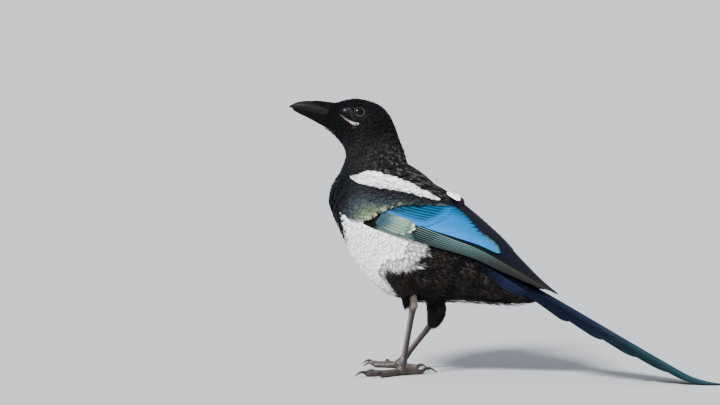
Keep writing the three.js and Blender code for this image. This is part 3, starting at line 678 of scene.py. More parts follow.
class Feathers:
    """Feathers of one stretch of the coat, gathered as arrays until they become a mesh."""

    def __init__(self, lines, lengths, widths, depth, tints, patches, draws):
        self.lines, self.lengths, self.widths = lines, lengths, widths
        self.depth, self.tints, self.patches, self.draws = depth, tints, patches, draws
        self.parts = []

    def add(self, which, us, xs, half_widths, heights, thick, round_over, shade=1.0):
        """Adds one blade to each feather in which, through rows of stations (feathers, steps)."""
        steps = us.shape[1] - 1
        w, h = half_widths[:, :steps], heights[:, :steps]
        u, x = us[:, :steps], xs[:, :steps]
        row = np.broadcast_to(which[:, None], u.shape)
        corners = ((-w, 0), (0, -thick), (w, 0), (0, thick))
        rings = np.stack([on_lines(self.lines, row, u, x + dx, h + dh, round_over) for dx, dh in corners], 2)
        tips = on_lines(self.lines, which, us[:, -1], xs[:, -1], heights[:, -1], round_over)
        points, faces = tapered(rings, tips)
        spread_u = np.concatenate([np.repeat(u, 4, 1), us[:, -1:]], 1)
        spread_x = np.concatenate([np.stack([x - w, x, x + w, x], 2).reshape(len(u), -1), xs[:, -1:]], 1)
        # Each blade is painted darker towards its root and paler towards its tip: painted shade where the
        # feathers over it cover its root.
        paler = (shade * (1 + 0.25 * (spread_u - 0.6)))[..., None]
        tint = np.minimum(self.tints[which][:, None] * paler, 0.9)
        vane = np.stack([spread_x, spread_u * self.lengths[which][:, None]], -1)
        vane = vane + self.draws[which][:, None, :] * PATTERN_STEP
        local = np.stack([spread_x / self.widths[which][:, None] * 0.4, spread_u - 0.5], -1)
        patch = self.patches[which][:, None] + UNWRAP_PATCH * 0.8 * local
        self.parts.append((points, faces, tint, vane, patch))

    def vanes(self, which, round_over, loft):
        """A vane for each feather, with barbs that part at its end. Its root lies at loft of its depth."""
        rows = np.ones((len(which), 1))
        widths, depth = self.widths[which][:, None], self.depth[which][:, None]
        rise = depth * (loft + (1 - loft) * VANE_STATIONS)
        us = rows * VANE_STATIONS * 0.94
        self.add(which, us, 0 * us, 0.5 * widths * VANE_OUTLINE, rise, VANE_THICK, round_over)
        run = np.array([0, 0.6, 1])
        for i, place in enumerate(END_BARBS):
            wobble = self.draws[which][:, i % 2][:, None] - 0.5
            start = 0.72 - 0.16 * abs(place)
            us = start + (0.34 - 0.12 * abs(place) + 0.1 * wobble) * run
            xs = widths * (0.36 * place + (0.12 * place + 0.12 * wobble) * run)
            h = depth * (1 + (1 - loft) * (0.2 * run - 0.19 + 0.13 * wobble))
            self.add(which, us, xs, widths * (0.11, 0.07, 0) * rows, h, BARB_THICK, round_over)

    def fans(self, which, round_over, barbs, loose, streaky):
        """A loose fan of barbs for each feather."""
        draw = np.random.default_rng(11)
        column = (len(which), 1)
        widths, depth = self.widths[which][:, None], self.depth[which][:, None]
        run = np.array([0, 0.5, 1])
        for place in np.linspace(-1, 1, barbs):
            start = 0.05 + 0.3 * (1 - abs(place)) * draw.random(column)
            reach = (1 - 0.22 * abs(place)) * (0.85 + 0.25 * draw.random(column))
            us = start + (reach - start) * run
            xs = widths * (0.12 * place + (0.45 * place + draw.normal(0, 0.12, column)) * run**0.8)
            h = depth * (0.2 + 0.8 * us) + loose * draw.normal(0.15, 0.5, column) * run**2
            shade = 1 + streaky * (draw.random(column) - 0.5)
            w = widths * (0.1, 0.085, 0) * np.ones(column)
            self.add(which, us, xs, w, h, BARB_THICK, round_over, shade)

    def hairs(self, which, lift, count=1):
        """Fine hairs on each line, that rise to their tips."""
        draw = np.random.default_rng(12)
        column = (len(which), 1)
        run = np.array([0, 0.35, 0.7, 1])
        for _ in range(count):
            aside = draw.normal(0, 0.5, column) * self.widths[which][:, None]
            xs = aside * (0.4 + 0.8 * run)
            h = self.depth[which][:, None] * (0.3 + lift * run**1.6 * draw.uniform(0.6, 1.2, column))
            w = self.widths[which][:, None] * (0.16, 0.13, 0.08, 0) * np.ones(column)
            self.add(which, run * draw.uniform(0.8, 1, column), xs, w, h, BARB_THICK, HAIR_ROUND)

    def mesh(self, name, mirrored=False):
        total, points, faces, tints, vane, patch = 0, [], [], [], [], []
        for part_points, part_faces, tint, part_vane, part_patch in self.parts:
            flat = part_points.reshape(-1, 3)
            points.append(flat)
            faces += [f + total for f in part_faces]
            tints.append(tint.reshape(-1, 3))
            vane.append(part_vane.reshape(-1, 2))
            patch.append(part_patch.reshape(-1, 2))
            total += len(flat)
        points, tints, vane, patch = (np.concatenate(group) for group in (points, tints, vane, patch))
        by_size = [np.concatenate([f for f in faces if f.shape[1] == size]) for size in (4, 3)]
        if mirrored:
            points = points * (1, -1, 1)
            by_size = [f[:, ::-1] for f in by_size]
        return mesh_of(name, points, by_size, tints, vane, patch)


# Folded wings lie over the sides of the trunk. Their skin is a wider copy of the trunk's upper side,
# read at s along the body's axis and q millimetres up over the side from the wing's lower edge.
# Stations of the wing: place along the axis, top, widest level, half width
WING = [
    (-8, 34, -8, 33), (10, 40, -9, 39), (25, 39.8, -8, 41), (45, 35.5, -6, 41), (65, 31.4, -3, 39.3),
    (85, 27.5, 0, 36), (105, 22.8, 2.5, 30.5), (125, 16, 1.5, 24.5), (145, 9.4, 0, 18),
    (160, 6.4, -1, 13.5), (178, 4.6, -1.5, 9),
]
LOWER_EDGE = [  # place along the axis, degrees round from the back
    (0, 92), (30, 88), (62, 84), (88, 79), (106, 74), (126, 64), (144, 48), (160, 30), (178, 22),
]
UPPER_EDGE = [  # place along the axis, millimetres up from the lower edge
    (-2, 20), (6, 35), (20, 41), (40, 44), (60, 40), (80, 34), (100, 27), (120, 20), (140, 11), (150, 7),
]


def wing_skin(s, q, side=0.0, h=0.0):
    """A point on the left wing's surface, h above it."""
    top, level, half = np.moveaxis(along(WING, s), -1, 0)
    rise = top - level
    edge = np.radians(along(LOWER_EDGE, s)[..., 0])
    angle = edge - (q + side) / ((rise + half) / 2)
    return beside(s, level + (rise + h) * np.cos(angle), -(half + h) * np.sin(angle))


def under_wing(p, margin):
    """True for points that the folded wings cover, by more than the margin."""
    s, n = from_axis(p)
    top, level, half = np.moveaxis(along(WING, s), -1, 0)
    angle = np.arctan2(np.abs(p[..., 1]) / half, (n - level) / (top - level))
    q = (np.radians(along(LOWER_EDGE, s)[..., 0]) - angle) * (top - level + half) / 2
    upper = along(UPPER_EDGE, s)[..., 0]
    inside = (q > margin) & (q < upper - margin) & (s > -4 + margin) & (s < 150)
    return inside & ((n - level) / (top - level) > -0.6)


# Where the eyes are: place along the neck and head, and degrees round from the crown
EYE_ALONG, EYE_ANGLE, EYE_SINK, EYE_RADIUS = 0.688, math.radians(61.5), 3.55, 5.0
EYE_RIM = 4.15  # feathers stop this far from the eye's axis
EYE_NEAR, EYE_BESIDE = 14, 7  # how near to the axis, and to the skin there, a feather is shortened
eyes = {}
for side, sign in (("left", -1), ("right", 1)):
    surface = neck_skin(EYE_ALONG, sign * EYE_ANGLE)
    outward = unit(neck_skin(EYE_ALONG, sign * EYE_ANGLE, 1.0) - surface)
    eyes[side] = (surface - outward * EYE_SINK, outward, surface)

BELLY_REAR = 58  # the belly's feathers are wide and smooth as far along the axis as this
BARE_HEEL = (17, -25, 56), (3.6, 7, 6.5)  # the middle of a place with no feathers, and its reach
TRIES = 170000
roots = scattered(skin_points, spacing, 7, TRIES)
at = nearest_skin(roots)
draws = np.random.default_rng(8).random((len(roots), 2))
gap_here = spacing[at]
lengths = gap_here * FEATHER_LENGTH * (0.9 + 0.25 * draws[:, 0])
keep = ~under_wing(roots, 5)
for _, outward, surface in eyes.values():
    out = (roots - surface) @ outward
    flat = roots - surface - outward * out[:, None]
    distance = np.linalg.norm(flat, axis=1)
    toward = -(flat * lie[at]).sum(-1) / distance
    beside_eye = np.abs(out) < EYE_BESIDE
    near = (distance < EYE_NEAR) & beside_eye & (toward > 0.3)
    lengths = np.where(near, np.clip(distance - EYE_RIM + 0.4, 0.9, lengths), lengths)
    keep &= (distance > EYE_RIM) | ~beside_eye
keep &= ~(np.abs(roots - BARE_HEEL[0]) < BARE_HEEL[1]).all(1)
roots, at, draws, gap_here, lengths = (v[keep] for v in (roots, at, draws, gap_here, lengths))
lines = walk(roots, lengths, np.random.default_rng(9).normal(0, 0.09, len(roots)))
ends = lines[0][:, WALK - 2]
thigh_here, neck_here, t_here = soft_thigh[at], on_neck[at], place_t[at]
depth = np.where(thigh_here > 0.5, COAT["thigh"], COAT["trunk"])
depth = np.where(neck_here > 0.5, stretch(COAT["neck"], COAT["face"], t_here), depth)
s_here, round_here = body_place(ends)
white_here = white_share(ends, 0.0) > 0.5
depth = depth * (1 + np.where(white_here, 0.05, 0.3) * (draws[:, 1] - 0.5))
on_mantle = (round_here < 55) & (s_here > -5) & (s_here < 75) & (neck_here < 0.5)
slim = np.where(on_mantle & (draws[:, 1] > FAWN_FROM), 0.55, 1.0)  # the fawn ones are narrow streaks
slim = np.where(white_here & (s_here < BELLY_REAR), 1.5, slim)
# The stretches of the coat, the first that holds for a feather's end being its own
stretches = {
    "thighs": thigh_here > 0.5,
    "head": neck_here * t_here > 0.55,
    "neck": neck_here > 0.5,
    "belly": white_here & (s_here < BELLY_REAR),
    "flanks": white_here,
    "vent": (round_here > 78) & (s_here > 30),
    "breast": round_here > 78,
    "back": round_here > -1,
}
# How rounded each stretch lies, its barbs if it is loose, then looseness and streaks, or else loft
COAT_LAYS = {
    "thighs": (9, 9, 0.6, 0.7), "head": (16, 0, 0.25, 0), "neck": (24, 0, 0.25, 0),
    "belly": (34, 0, 0.85, 0), "flanks": (30, 14, 0.35, 0.03), "vent": (28, 10, 1.0, 1.1),
    "breast": (32, 0, 0.3, 0), "back": (34, 0, 0.3, 0),
}


def patch_at(near):
    """Places on the coat's unwrap for feathers rooted at the skin's points with numbers near."""
    return np.stack([0.05 + 0.9 * place_t[near], 0.5 + 0.45 * place_angle[near] / math.pi], -1)


widths = gap_here * FEATHER_WIDTH * slim
feathers = Feathers(lines, lengths, widths, depth, markings(ends, draws), patch_at(at), draws)
left_over = np.ones(len(roots), bool)
for title, (round_over, barbs, loose, streaky) in COAT_LAYS.items():
    which = np.nonzero(left_over & stretches[title])[0]
    left_over &= ~stretches[title]
    feathers.parts = []
    if barbs:
        feathers.fans(which, round_over, barbs, loose, streaky)
    else:
        feathers.vanes(which, round_over, loose)
    pale = title in ("belly", "flanks")
    coat_piece(feathers.mesh("coat_" + title), white_coat if pale else black_coat,
               "body_feathers" if pale else "black_feathers")

# Loose ends of the coat: a few hairs on the chin, the ragged edge of the vent, and the sheath of
# feathers that hangs in front of the left heel. They are finer than the coat, and stand out from it.


def hair_piece(name, groups):
    """A piece of hairs. A group is its lines, their width, depth and lift, the hairs on each, a colour."""
    lines = np.concatenate([group[0] for group in groups], 1)
    which = np.repeat(np.arange(len(groups)), [group[0].shape[1] for group in groups])
    widths, depth = (np.array([group[k] for group in groups])[which] for k in (1, 2))
    draws = np.random.default_rng(13).random((len(which), 2))
    tints = np.array([tone(group[5]) for group in groups])[which] * (0.6 + 0.8 * draws[:, :1])
    roots = lines[0][:, 0]
    lengths = np.linalg.norm(lines[0][:, -1] - roots, axis=1)
    hairs = Feathers(lines, lengths, widths, depth, tints, patch_at(nearest_skin(roots)), draws)
    for n, group in enumerate(groups):
        hairs.hairs(np.nonzero(which == n)[0], group[3], group[4])
    coat_piece(hairs.mesh(name), black_coat, "black_feathers")


def picked(seed, count, first, second):
    """Random pairs of coordinates between the limits first and second."""
    return np.random.default_rng(seed).uniform((first[0], second[0]), (first[1], second[1]), (count, 2))


SHEATH_TOP, SHEATH_DROP = (14.5, -18.0, 65.0), 17.0


def heel_sheath(down, turn, h=0.0):
    """The hanging feathers before the left heel: down them, and round the leg from its front."""
    x, y, z = SHEATH_TOP
    reach = 8.2 - 4.4 * down + h
    return np.stack([x - reach * np.cos(turn), y + reach * np.sin(turn), z - SHEATH_DROP * down], -1)


chin = picked(21, 90, (0.70, 0.97), (math.radians(142), math.radians(218)))
vent = picked(22, 260, (66, 140), (math.radians(146), math.radians(214)))
sheath = picked(23, 170, (0.0, 0.3), (math.radians(-100), math.radians(100)))
hair_piece("coat_loose_ends", [
    (lines_between(neck_skin, chin, chin - (0.07, 0)), 1.5, 0.9, 1.2, 1, 0x060608),
    (lines_between(trunk_skin, vent, vent + (9, 0)), 1.3, 1.6, 1.0, 3, 0x12100E),
    (lines_between(heel_sheath, sheath, np.stack([sheath[:, 0] + 0.75, sheath[:, 1] * 0.5], -1)),
     2.2, 0.5, 0.4, 5, 0x0C0A0B),
])

# The wing's small coverts and the white scapulars: soft feathers on the bend of the folded wing and on
# the shoulder, in rows that overlap. They run from bronze black to a pale grey-green at the lower rear,
# which is painted sheen on the black feathers.
# Limits of the coverts and of the white patch: place along the axis, millimetres up over the wing
COVERTS_FROM = [
    (-8, 8.8), (-2, 6), (4.5, 2.6), (14, 2.2), (22, 4), (27.5, 7), (29, 11), (34.5, 15.5), (37, 19.5),
    (44.5, 25.5), (54, 29.5), (62, 35.5), (66, 39),
]
WHITE_FROM = [(-8, 29.5), (-4, 28), (2, 26.8), (8, 27), (22, 30.3), (40, 34.8), (50, 37.2), (62, 40.2)]
WHITE_TO = [
    (-8, 29.6), (-6, 31.5), (-2, 34), (3, 35.6), (10, 35.8), (20, 38), (31, 39.8), (43, 41), (53, 40.8),
    (62, 40.4),
]
FRONT_DROP = 3.4  # how far the wing's front edge sinks among the breast feathers
FAR_DROP = 4.0  # how much lower over the side the right wing's white patch ends


def between_rows(low, high, s, q, margin):
    """True where q lies between two limits that change along s."""
    return (q > np.interp(s, *zip(*low)) + margin) & (q < np.interp(s, *zip(*high)) - margin)


def soft_wing(lift):
    """The wing's surface raised by lift, and sunk at its front edge."""
    def skin_of(s, q, h):
        s = np.maximum(s, WING[0][0])
        return wing_skin(s, q, 0.0, h + lift - FRONT_DROP * (1 - smooth(-8, 9, s)))
    return skin_of


def staggered(limits, gap, seed):
    """Staggered rows of places, with a little play: s and q of each."""
    (s_from, s_to), (q_from, q_to) = limits
    s, q = np.meshgrid(np.arange(s_from, s_to, gap * 0.87), np.arange(q_from, q_to, gap), indexing="ij")
    q = q + gap / 2 * (np.arange(len(s)) % 2)[:, None]
    play = np.random.default_rng(seed).normal(0, 0.17 * gap, (2, s.size))
    return s.ravel() + play[0], q.ravel() + play[1]


def covert_colour(s, q, draw):
    """A small covert's colour by its place on the wing: bronze black, teal, then pale grey-green painted as
    sheen.
    """
    colour = mix(tone(0x18181C), tone(0x0D0E12), 1 - smooth(-6, 6, s))
    colour = mix(colour, tone(0x2A343A), smooth(25, 13, q - 0.3 * (s - 15)) * smooth(2, 14, s))
    # painted sheen: a pale grey-green over the lower rear coverts
    colour = mix(colour, tone(0x5C6A52), smooth(19, 9, q - 0.25 * (s - 22)) * smooth(9, 25, s))
    rim = smooth(4, 0, q - np.interp(s, *zip(*COVERTS_FROM)))
    colour = mix(colour, tone(0x84866E), rim * smooth(12, 26, s) * smooth(46, 36, s) * 0.6)
    return colour * (0.85 + 0.3 * draw)[..., None]


def small_feathers(kind, s, q, slope, length, width, depth, lift, mirrored):
    """Feathers that end at (s, q) on the wing, as one piece."""
    draws = np.random.default_rng(31).random((len(s), 2))
    lengths = length * (0.85 + 0.3 * draws[:, 0])
    ends = np.stack([s, q], -1)
    starts = ends - lengths[:, None] * np.stack([np.cos(slope), np.sin(slope)], -1)
    starts[:, 0] = np.maximum(starts[:, 0], WING[0][0])
    lines = lines_between(soft_wing(lift), starts, ends)
    if kind == "scapulars":
        tints = np.array(WHITE) * (0.95 + 0.07 * draws[:, 1:])
    else:
        tints = covert_colour(s, q, draws[:, 1])
    patches = 0.05 + 0.9 * np.stack([(starts[:, 0] + 10) / 80, starts[:, 1] / 50], -1)
    one = np.ones(len(s))
    rows = Feathers(lines, lengths, width * one, depth * (0.8 + 0.4 * draws[:, 0]), tints, patches, draws)
    rows.vanes(np.arange(len(s)), 40, 0.8 if kind == "scapulars" else 0.5)
    return rows.mesh(kind + ("_right" if mirrored else "_left"), mirrored)


COVERT_SLOPES = (5, 15, 28), (-0.05, 0.2, 0.45)  # millimetres up over the wing, and the slope there
WHITE_SLOPE = 0.2
WHITE_LIFTS = {False: 2.2, True: 0.9}  # how high the left and right white feathers lie
for mirrored in (False, True):
    s, q = staggered(((-6, 66), (2, 42)), 2.3, 32)
    inside = between_rows(COVERTS_FROM, WHITE_FROM, s, q, 0.2)
    s, q = s[inside], q[inside]
    slope = np.interp(q, *COVERT_SLOPES)
    mesh = small_feathers("coverts", s, q, slope, 7.5, 4.2, 0.55, 1.2, mirrored)
    coat_piece(mesh, black_coat, "wing_feathers")
    s, q = staggered(((-5, 62), (24, 46)), 2.2, 33)
    drop = FAR_DROP * mirrored * smooth(5, 25, s)
    inside = between_rows(WHITE_FROM, WHITE_TO, s, q, 0.2) & (q < np.interp(s, *zip(*WHITE_TO)) - drop)
    s, q = s[inside], q[inside]
    slope, lift = np.full(len(s), WHITE_SLOPE), WHITE_LIFTS[mirrored]
    mesh = small_feathers("scapulars", s, q, slope, 12.0, 6.0, 0.5, lift, mirrored)
    coat_piece(mesh, white_coat, "body_feathers")

# Flight feathers and the larger coverts over them. A real one is a stiff curved vane of locked barbs
# on a shaft, narrower on its outer side. Each is a thin closed plate that follows the folded wing. They
# are listed from the lowest layer, the tertials, to the scapulars that lie on top of the shoulder.
VANE_ALONG, VANE_ACROSS = 24, 8


def plate_faces(steps, across):
    """Faces of a closed plate whose points are an upper and a lower grid, each (steps, across) wide."""
    row, face = across + 1, (across + 1) * (steps + 1)
    i, j = (m.ravel() for m in np.meshgrid(np.arange(steps), np.arange(across), indexing="ij"))
    a = i * row + j
    top = np.stack([a, a + row, a + row + 1, a + 1], -1)
    under = np.stack([a, a + 1, a + row + 1, a + row], -1) + face
    i, j = np.arange(steps), np.arange(across)
    left, right, last = i * row, i * row + across, steps * row + j
    sides = [
        np.stack([left + row, left, left + face, left + face + row], -1),
        np.stack([right, right + row, right + face + row, right + face], -1),
        np.stack([j, j + 1, j + 1 + face, j + face], -1),
        np.stack([last + 1, last, last + face, last + 1 + face], -1),
    ]
    return np.concatenate([top, under, *sides])


def blade(skin_of, root, tip, width, lift, tilt=0.3, outer=0.4, round_tip=0.8, bend=0.0, sag=0.25,
          thick=0.22):
    """One vane on a skin: its two grids of points, each point's share across (-1 outer) and along,
    and where it lies on the skin."""
    u = 1 - (1 - np.linspace(0, 1, VANE_ALONG + 1)[:, None]) ** 1.25
    v = np.linspace(-1, 1, VANE_ACROSS + 1)[None]
    swell = smooth(-0.25, 0.3, u)
    end = np.sqrt(np.clip(1 - np.clip((u - round_tip) / (1 - round_tip), 0, 1) ** 2, 0, 1))
    half = width * np.maximum(swell * end, 0.03)
    x = half * np.where(v < 0, outer, 1 - outer) * v + bend * width * np.sin(math.pi * u)
    s = stretch(root[0], tip[0], u) - 0.12 * width * np.abs(v) * u**2 * end
    q = np.broadcast_to(stretch(root[1], tip[1], u), s.shape)
    ridge = 0.14 * (1 - 0.7 * u) * np.exp(-((v / 0.12) ** 2))
    h = stretch(*lift, u) - tilt * v * swell - sag * v**2 + ridge
    body = thick * (1 - 0.65 * np.abs(v)) * (1 - 0.3 * u) + 0.05
    share_v, share_u = np.broadcast_arrays(v, u)
    return np.stack([skin_of(s, q, x, h), skin_of(s, q, x, h - body)]), share_v, share_u, s, q + x


def vane_mesh(name, blades, colour, mirrored=False):
    """Joins blades into a mesh. colour(kind, index, across, along, s, q) gives each point's colour."""
    count = len(blades)
    points, tints, vane, patch = [], [], [], []
    for n, (kind, index, (grid, v, u, s, q)) in enumerate(blades):
        length = np.linalg.norm(np.diff(grid[0][:, VANE_ACROSS // 2], axis=0), axis=1).sum()
        half = np.linalg.norm(grid[0][:, -1] - grid[0][:, 0], axis=1)[:, None] / 2
        points.append(grid.reshape(-1, 3))
        tints.append(np.concatenate([colour(kind, index, v, u, s, q).reshape(-1, 3)] * 2))
        barb = np.stack([v * half + PATTERN_STEP * n, u * length - 1.3 * np.abs(v) * half], -1)
        vane.append(np.concatenate([barb.reshape(-1, 2)] * 2))
        for under in (0, 1):
            across = (2 * n + under + 0.5 + 0.4 * v) / (2 * count)
            patch.append(np.stack([across, 0.02 + 0.96 * u], -1).reshape(-1, 2))
    points = np.concatenate(points)
    each = 2 * (VANE_ALONG + 1) * (VANE_ACROSS + 1)
    faces = (np.arange(count) * each)[:, None, None] + plate_faces(VANE_ALONG, VANE_ACROSS)
    faces = faces.reshape(-1, 4)
    if mirrored:
        points = points * (1, -1, 1)
        faces = faces[:, ::-1]
    return mesh_of(name, points, [faces], np.concatenate(tints), np.concatenate(vane), np.concatenate(patch))


def sampled(curve, t):
    """A point at share t of the way through a curve's points."""
    rows = [(i, *point) for i, point in enumerate(curve)]
    return along(rows, t * (len(curve) - 1))


def row_of(kind, count, roots, tips, widths, root_lift, tip_lift, **shared):
    """A row of blades: their roots and tips lie on curves, and the rest runs from a first to a last."""
    made = []
    for i in range(count):
        t = i / max(count - 1, 1)
        lift = (stretch(*root_lift, t), stretch(*tip_lift, t))
        width = stretch(*widths, t)
        made.append((kind, i, blade(wing_skin, sampled(roots, t), sampled(tips, t), width, lift, **shared)))
    return made


# The blue panel's rear edge, where the secondaries end: place along the axis, millimetres up
PANEL_EDGE = [(118, 13.6), (113, 18.5), (99, 23.5), (89, 31), (81, 36.5), (73, 39.5)]
WING_ROWS = [
    row_of("tertial", 3, [(92, 20), (90, 26)], [(158, 3.4), (149, 9)], (12, 12), (-0.6, -0.4), (-0.2, 0.0),
           outer=0.5, round_tip=0.9),
    row_of("tertial", 6, [(66, 36), (62, 50)], [(150, 8), (140, 14), (128, 20), (114, 26)], (11, 12),
           (-0.2, 0.3), (0.2, 0.6), outer=0.4),
    row_of("primary", 8, [(50, 1.4), (57, 12.6)], [(134, -0.6), (149, 0.2), (159, 1.8), (166, 3.6)],
           (5.4, 6.2), (-0.3, 0.3), (-0.1, 0.6), outer=0.34, round_tip=0.84, bend=0.08),
    row_of("primary covert", 6, [(20, 1.6), (28, 6)], [(62, 0.9), (57, 6)], (4.5, 5.0), (-0.5, 0.1),
           (0.6, 0.9), outer=0.3),
    row_of("secondary", 14, [(52, 14.4), (58, 36)], PANEL_EDGE, (6.4, 7), (0.3, 0.7), (0.8, 1.2),
           outer=0.36, round_tip=0.94),
    row_of("greater covert", 10, [(24, 13.4), (34, 19), (48, 30)], [(66, 14.4), (70, 20), (73, 28), (71, 37)],
           (6.2, 6.2), (0.3, 0.8), (0.85, 1.25), outer=0.42, round_tip=0.6, thick=0.1),
    row_of("alula", 4, [(29, 5.4), (30, 11)], [(53, 3.6), (57, 6), (58.5, 8.4), (57, 10.6)], (6, 6.5),
           (0.5, 0.9), (1.0, 1.6), outer=0.45, round_tip=0.72),
    row_of("fringe", 6, [(10, 21), (26, 27)], [(33, 16.5), (40, 22), (50, 27), (62, 34), (68, 38)], (5, 5),
           (0.6, 1.0), (1.4, 1.8), outer=0.5, round_tip=0.6),
    row_of("scapular", 5, [(2, 28), (4, 33)], [(22, 30.5), (24, 36)], (7, 7), (-0.4, -0.4), (1.9, 2.2),
           outer=0.5),
    row_of("scapular", 4, [(12, 30), (14, 35)], [(40, 36), (42, 39)], (6, 6), (1.2, 1.4), (2.1, 2.3),
           outer=0.5),
    row_of("scapular", 2, [(34, 35.5), (34, 38)], [(60, 39.6), (60, 40.4)], (4, 4), (1.4, 1.6), (2.2, 2.4),
           outer=0.5),
]
# On the far side the last scapulars are ruffled, and stand up over the back, with one dark curled tip
RUFFLED = [
    row_of("scapular", 5, [(34, 34), (44, 44)], [(56, 38), (66, 48)], (5, 6), (0.4, 0.4), (1.2, 2.6),
           outer=0.5),
    row_of("scapular", 4, [(54, 46), (57, 53)], [(66, 48), (70, 54)], (6, 7), (0.2, 0.4), (4.8, 4.4),
           outer=0.5),
    row_of("tertial", 3, [(60, 48), (63, 53)], [(71, 49), (75, 53)], (6, 7), (2.6, 2.6), (4.6, 4.2),
           outer=0.5, round_tip=0.6),
]


def wing_colour(kind, index, v, u, s, q):
    """A wing feather's colour, by its kind, its place on the wing and the place on the vane."""
    if kind == "primary":
        line = stretch(-0.52, -0.8, u)
        edge = smooth(line + 0.08, line - 0.08, v) * smooth(46, 60, s) * (0.22 + 0.1 * index)
        edge = edge * (1 - 0.4 * smooth(85, 125, s))
        pale = mix(tone(0x5A7672), tone(0x4C4B45), smooth(95, 130, s))
        return mix(mix(tone(0x060C10), tone(0x100F12), smooth(110, 140, s)), pale, edge)
    if kind == "primary covert":
        colour = mix(tone(0x1B3036), tone(0x5C7068), smooth(-0.45, -0.8, v))
        # The primary coverts are painted near black up to about s 31: a painted shadow in the gap under the
        # small coverts' lower edge.
        return mix(tone(0x020203), colour, smooth(29, 35, s))
    if kind == "secondary":
        blue = mix(tone(0x1270B4), tone(0x0066A0), smooth(14, 22, q))
        blue = mix(blue, tone(0x004E7C), smooth(27, 38, q))
        dark = mix(blue, tone(0x041521), smooth(0.1, 0.4, v))
        places, rows = zip(*PANEL_EDGE)
        tips = smooth(-5.0, -0.8, s - np.interp(q, rows, places))
        return mix(dark, tone(0x5F7F78), tips * (0.08 + 0.4 * smooth(94, 108, s)))
    if kind == "tertial":
        colour = mix(tone(0x05060D), tone(0x0E1120), smooth(-0.2, -0.9, v))
        return mix(colour, tone(0x22130F), smooth(0.95, 1, u) * 0.6)
    if kind == "alula":
        mottle = 0.5 + 0.5 * np.sin(1.7 * s + 2.3 * q) * np.sin(2.9 * q - 1.1 * s)
        paler = smooth(0.22, 0.66, u + 0.16 * mottle) * (0.6 + 0.4 * mottle)
        pale = mix(tone(0x213C44), tone(0x6E8475), paler)
        ring = np.clip(1 - np.abs(u - 0.03 * v**2 - 0.95) / 0.05, 0, 1)
        line = np.clip(1 - np.abs(u - 0.85) / 0.06, 0, 1)
        return mix(mix(pale, tone(0x35433F), line * 0.8), tone(0xB6BCAE), ring)
    if kind == "greater covert":
        blue = mix(tone(0x2876C8), tone(0x0068A4), smooth(13, 19, q))
        blue = mix(blue, tone(0x0868A8), smooth(0.5, 0.9, u))
        streak = smooth(-0.92, -0.6, v) * smooth(0.95, 0.7, u) * (0.25 + 0.7 * smooth(0.5, 3, index))
        return mix(blue, tone(0x04272B), streak)
    if kind == "fringe":
        colour = mix(tone(0x17171B), tone(0x2A353A), smooth(0.3, 0.9, u))
        return mix(colour, tone(0x7A807C), smooth(-0.7, -0.95, v) * smooth(0.3, 0.7, u) * 0.9)
    return np.broadcast_to(np.array(WHITE), (*v.shape, 3))


def vane_finish(name, rough, gloss):
    """Locked barbs with a silky gloss: fine slanting lines, and each vane's own colour."""
    look = Finish(name, Specular_IOR_Level=gloss)
    vane = look.node("UVMap", {"uv_map": "Vane"})
    fine = look.noise(look.scaled(vane, 0.06, 3.4, 1.0), 1.0, 3.0)
    broad = look.noise(look.scaled(vane, 0.04, 0.35, 1.0), 1.0, 2.0)
    shaded = look.tinted(0.62 + 0.4 * fine + 0.36 * broad)
    dull = rough - 0.08 + 0.16 * fine
    return look.feed(Base_Color=shaded, Roughness=dull, Normal=look.bump(fine, 0.3, 0.0002))


wing_gloss = vane_finish("wing vanes", 0.6, 0.07)
not_white = [row for row in WING_ROWS if row[0][0] != "scapular"]
for side, rows in (("left", WING_ROWS), ("right", not_white + RUFFLED)):
    blades = [one for row in rows for one in row]
    mesh = vane_mesh("wing_feathers_" + side, blades, wing_colour, side == "right")
    coat_piece(mesh, wing_gloss, "wing_feathers", "wing_" + side)

# The closed tail: six pairs of stiff, graded feathers, the middle pair longest and on top. They run
# straight back and down from the rump, and the last part curves to lie on the ground. On each side a
# dark blue covert lies along the vent, over the roots of the outer ones.
TAIL_START = (75.0, 81.4)
TAIL_PITCH = math.radians(27.65)
TAIL_BEND_FROM, TAIL_BEND = 158.6, 30.0
TAIL_LENGTH, TAIL_ARCH = 192.0, 0.0075
RECTRICES = [  # length, distance of the outer edge from the middle, height, width
    (192, 9.5, 0, 17), (175, 13, -0.58, 17), (153, 16.5, -1.16, 17),
    (128, 19.5, -1.7, 17), (100, 21.5, -2.2, 16), (71, 22.5, -2.7, 15),
]
# Coverts beside the vent: place along the axis and degrees round, at root and tip, and width
SIDE_COVERTS = [
    ((108, 80), (151, 103), 7), ((106, 78), (152, 91), 7), ((104, 75), (153, 80), 7),
    ((102, 71), (154, 70), 7),
]


def tail_skin(r, y, side=0.0, h=0.0):
    """A point on the tail: r along it from its root, y to the right, h above it."""
    bent = np.clip(r - TAIL_BEND_FROM, 0, TAIL_BEND)
    pitch = TAIL_PITCH * (1 - bent / TAIL_BEND)
    half = (TAIL_PITCH + pitch) / 2
    straight = np.minimum(r, TAIL_BEND_FROM)
    x = TAIL_START[0] + straight * math.cos(TAIL_PITCH) + bent * np.cos(half)
    x = x + np.maximum(r - TAIL_BEND_FROM - TAIL_BEND, 0)
    z = TAIL_START[1] - straight * math.sin(TAIL_PITCH) - bent * np.sin(half)
    wide = y + side
    arch = TAIL_ARCH * np.cos(pitch * 0.9 + 0.15) * wide**2 * np.clip((TAIL_LENGTH - r) / 60, 0, 1)
    level = np.maximum(z + np.cos(pitch) * (h - arch), 0.04)
    return np.stack(np.broadcast_arrays(x + np.sin(pitch) * (h - arch), wide, level), -1)


def flank_skin(s, degrees, side=0.0, h=0.0):
    """A point on the left flank over the coat."""
    return trunk_skin(s, -np.radians(degrees) + side / 22, h)


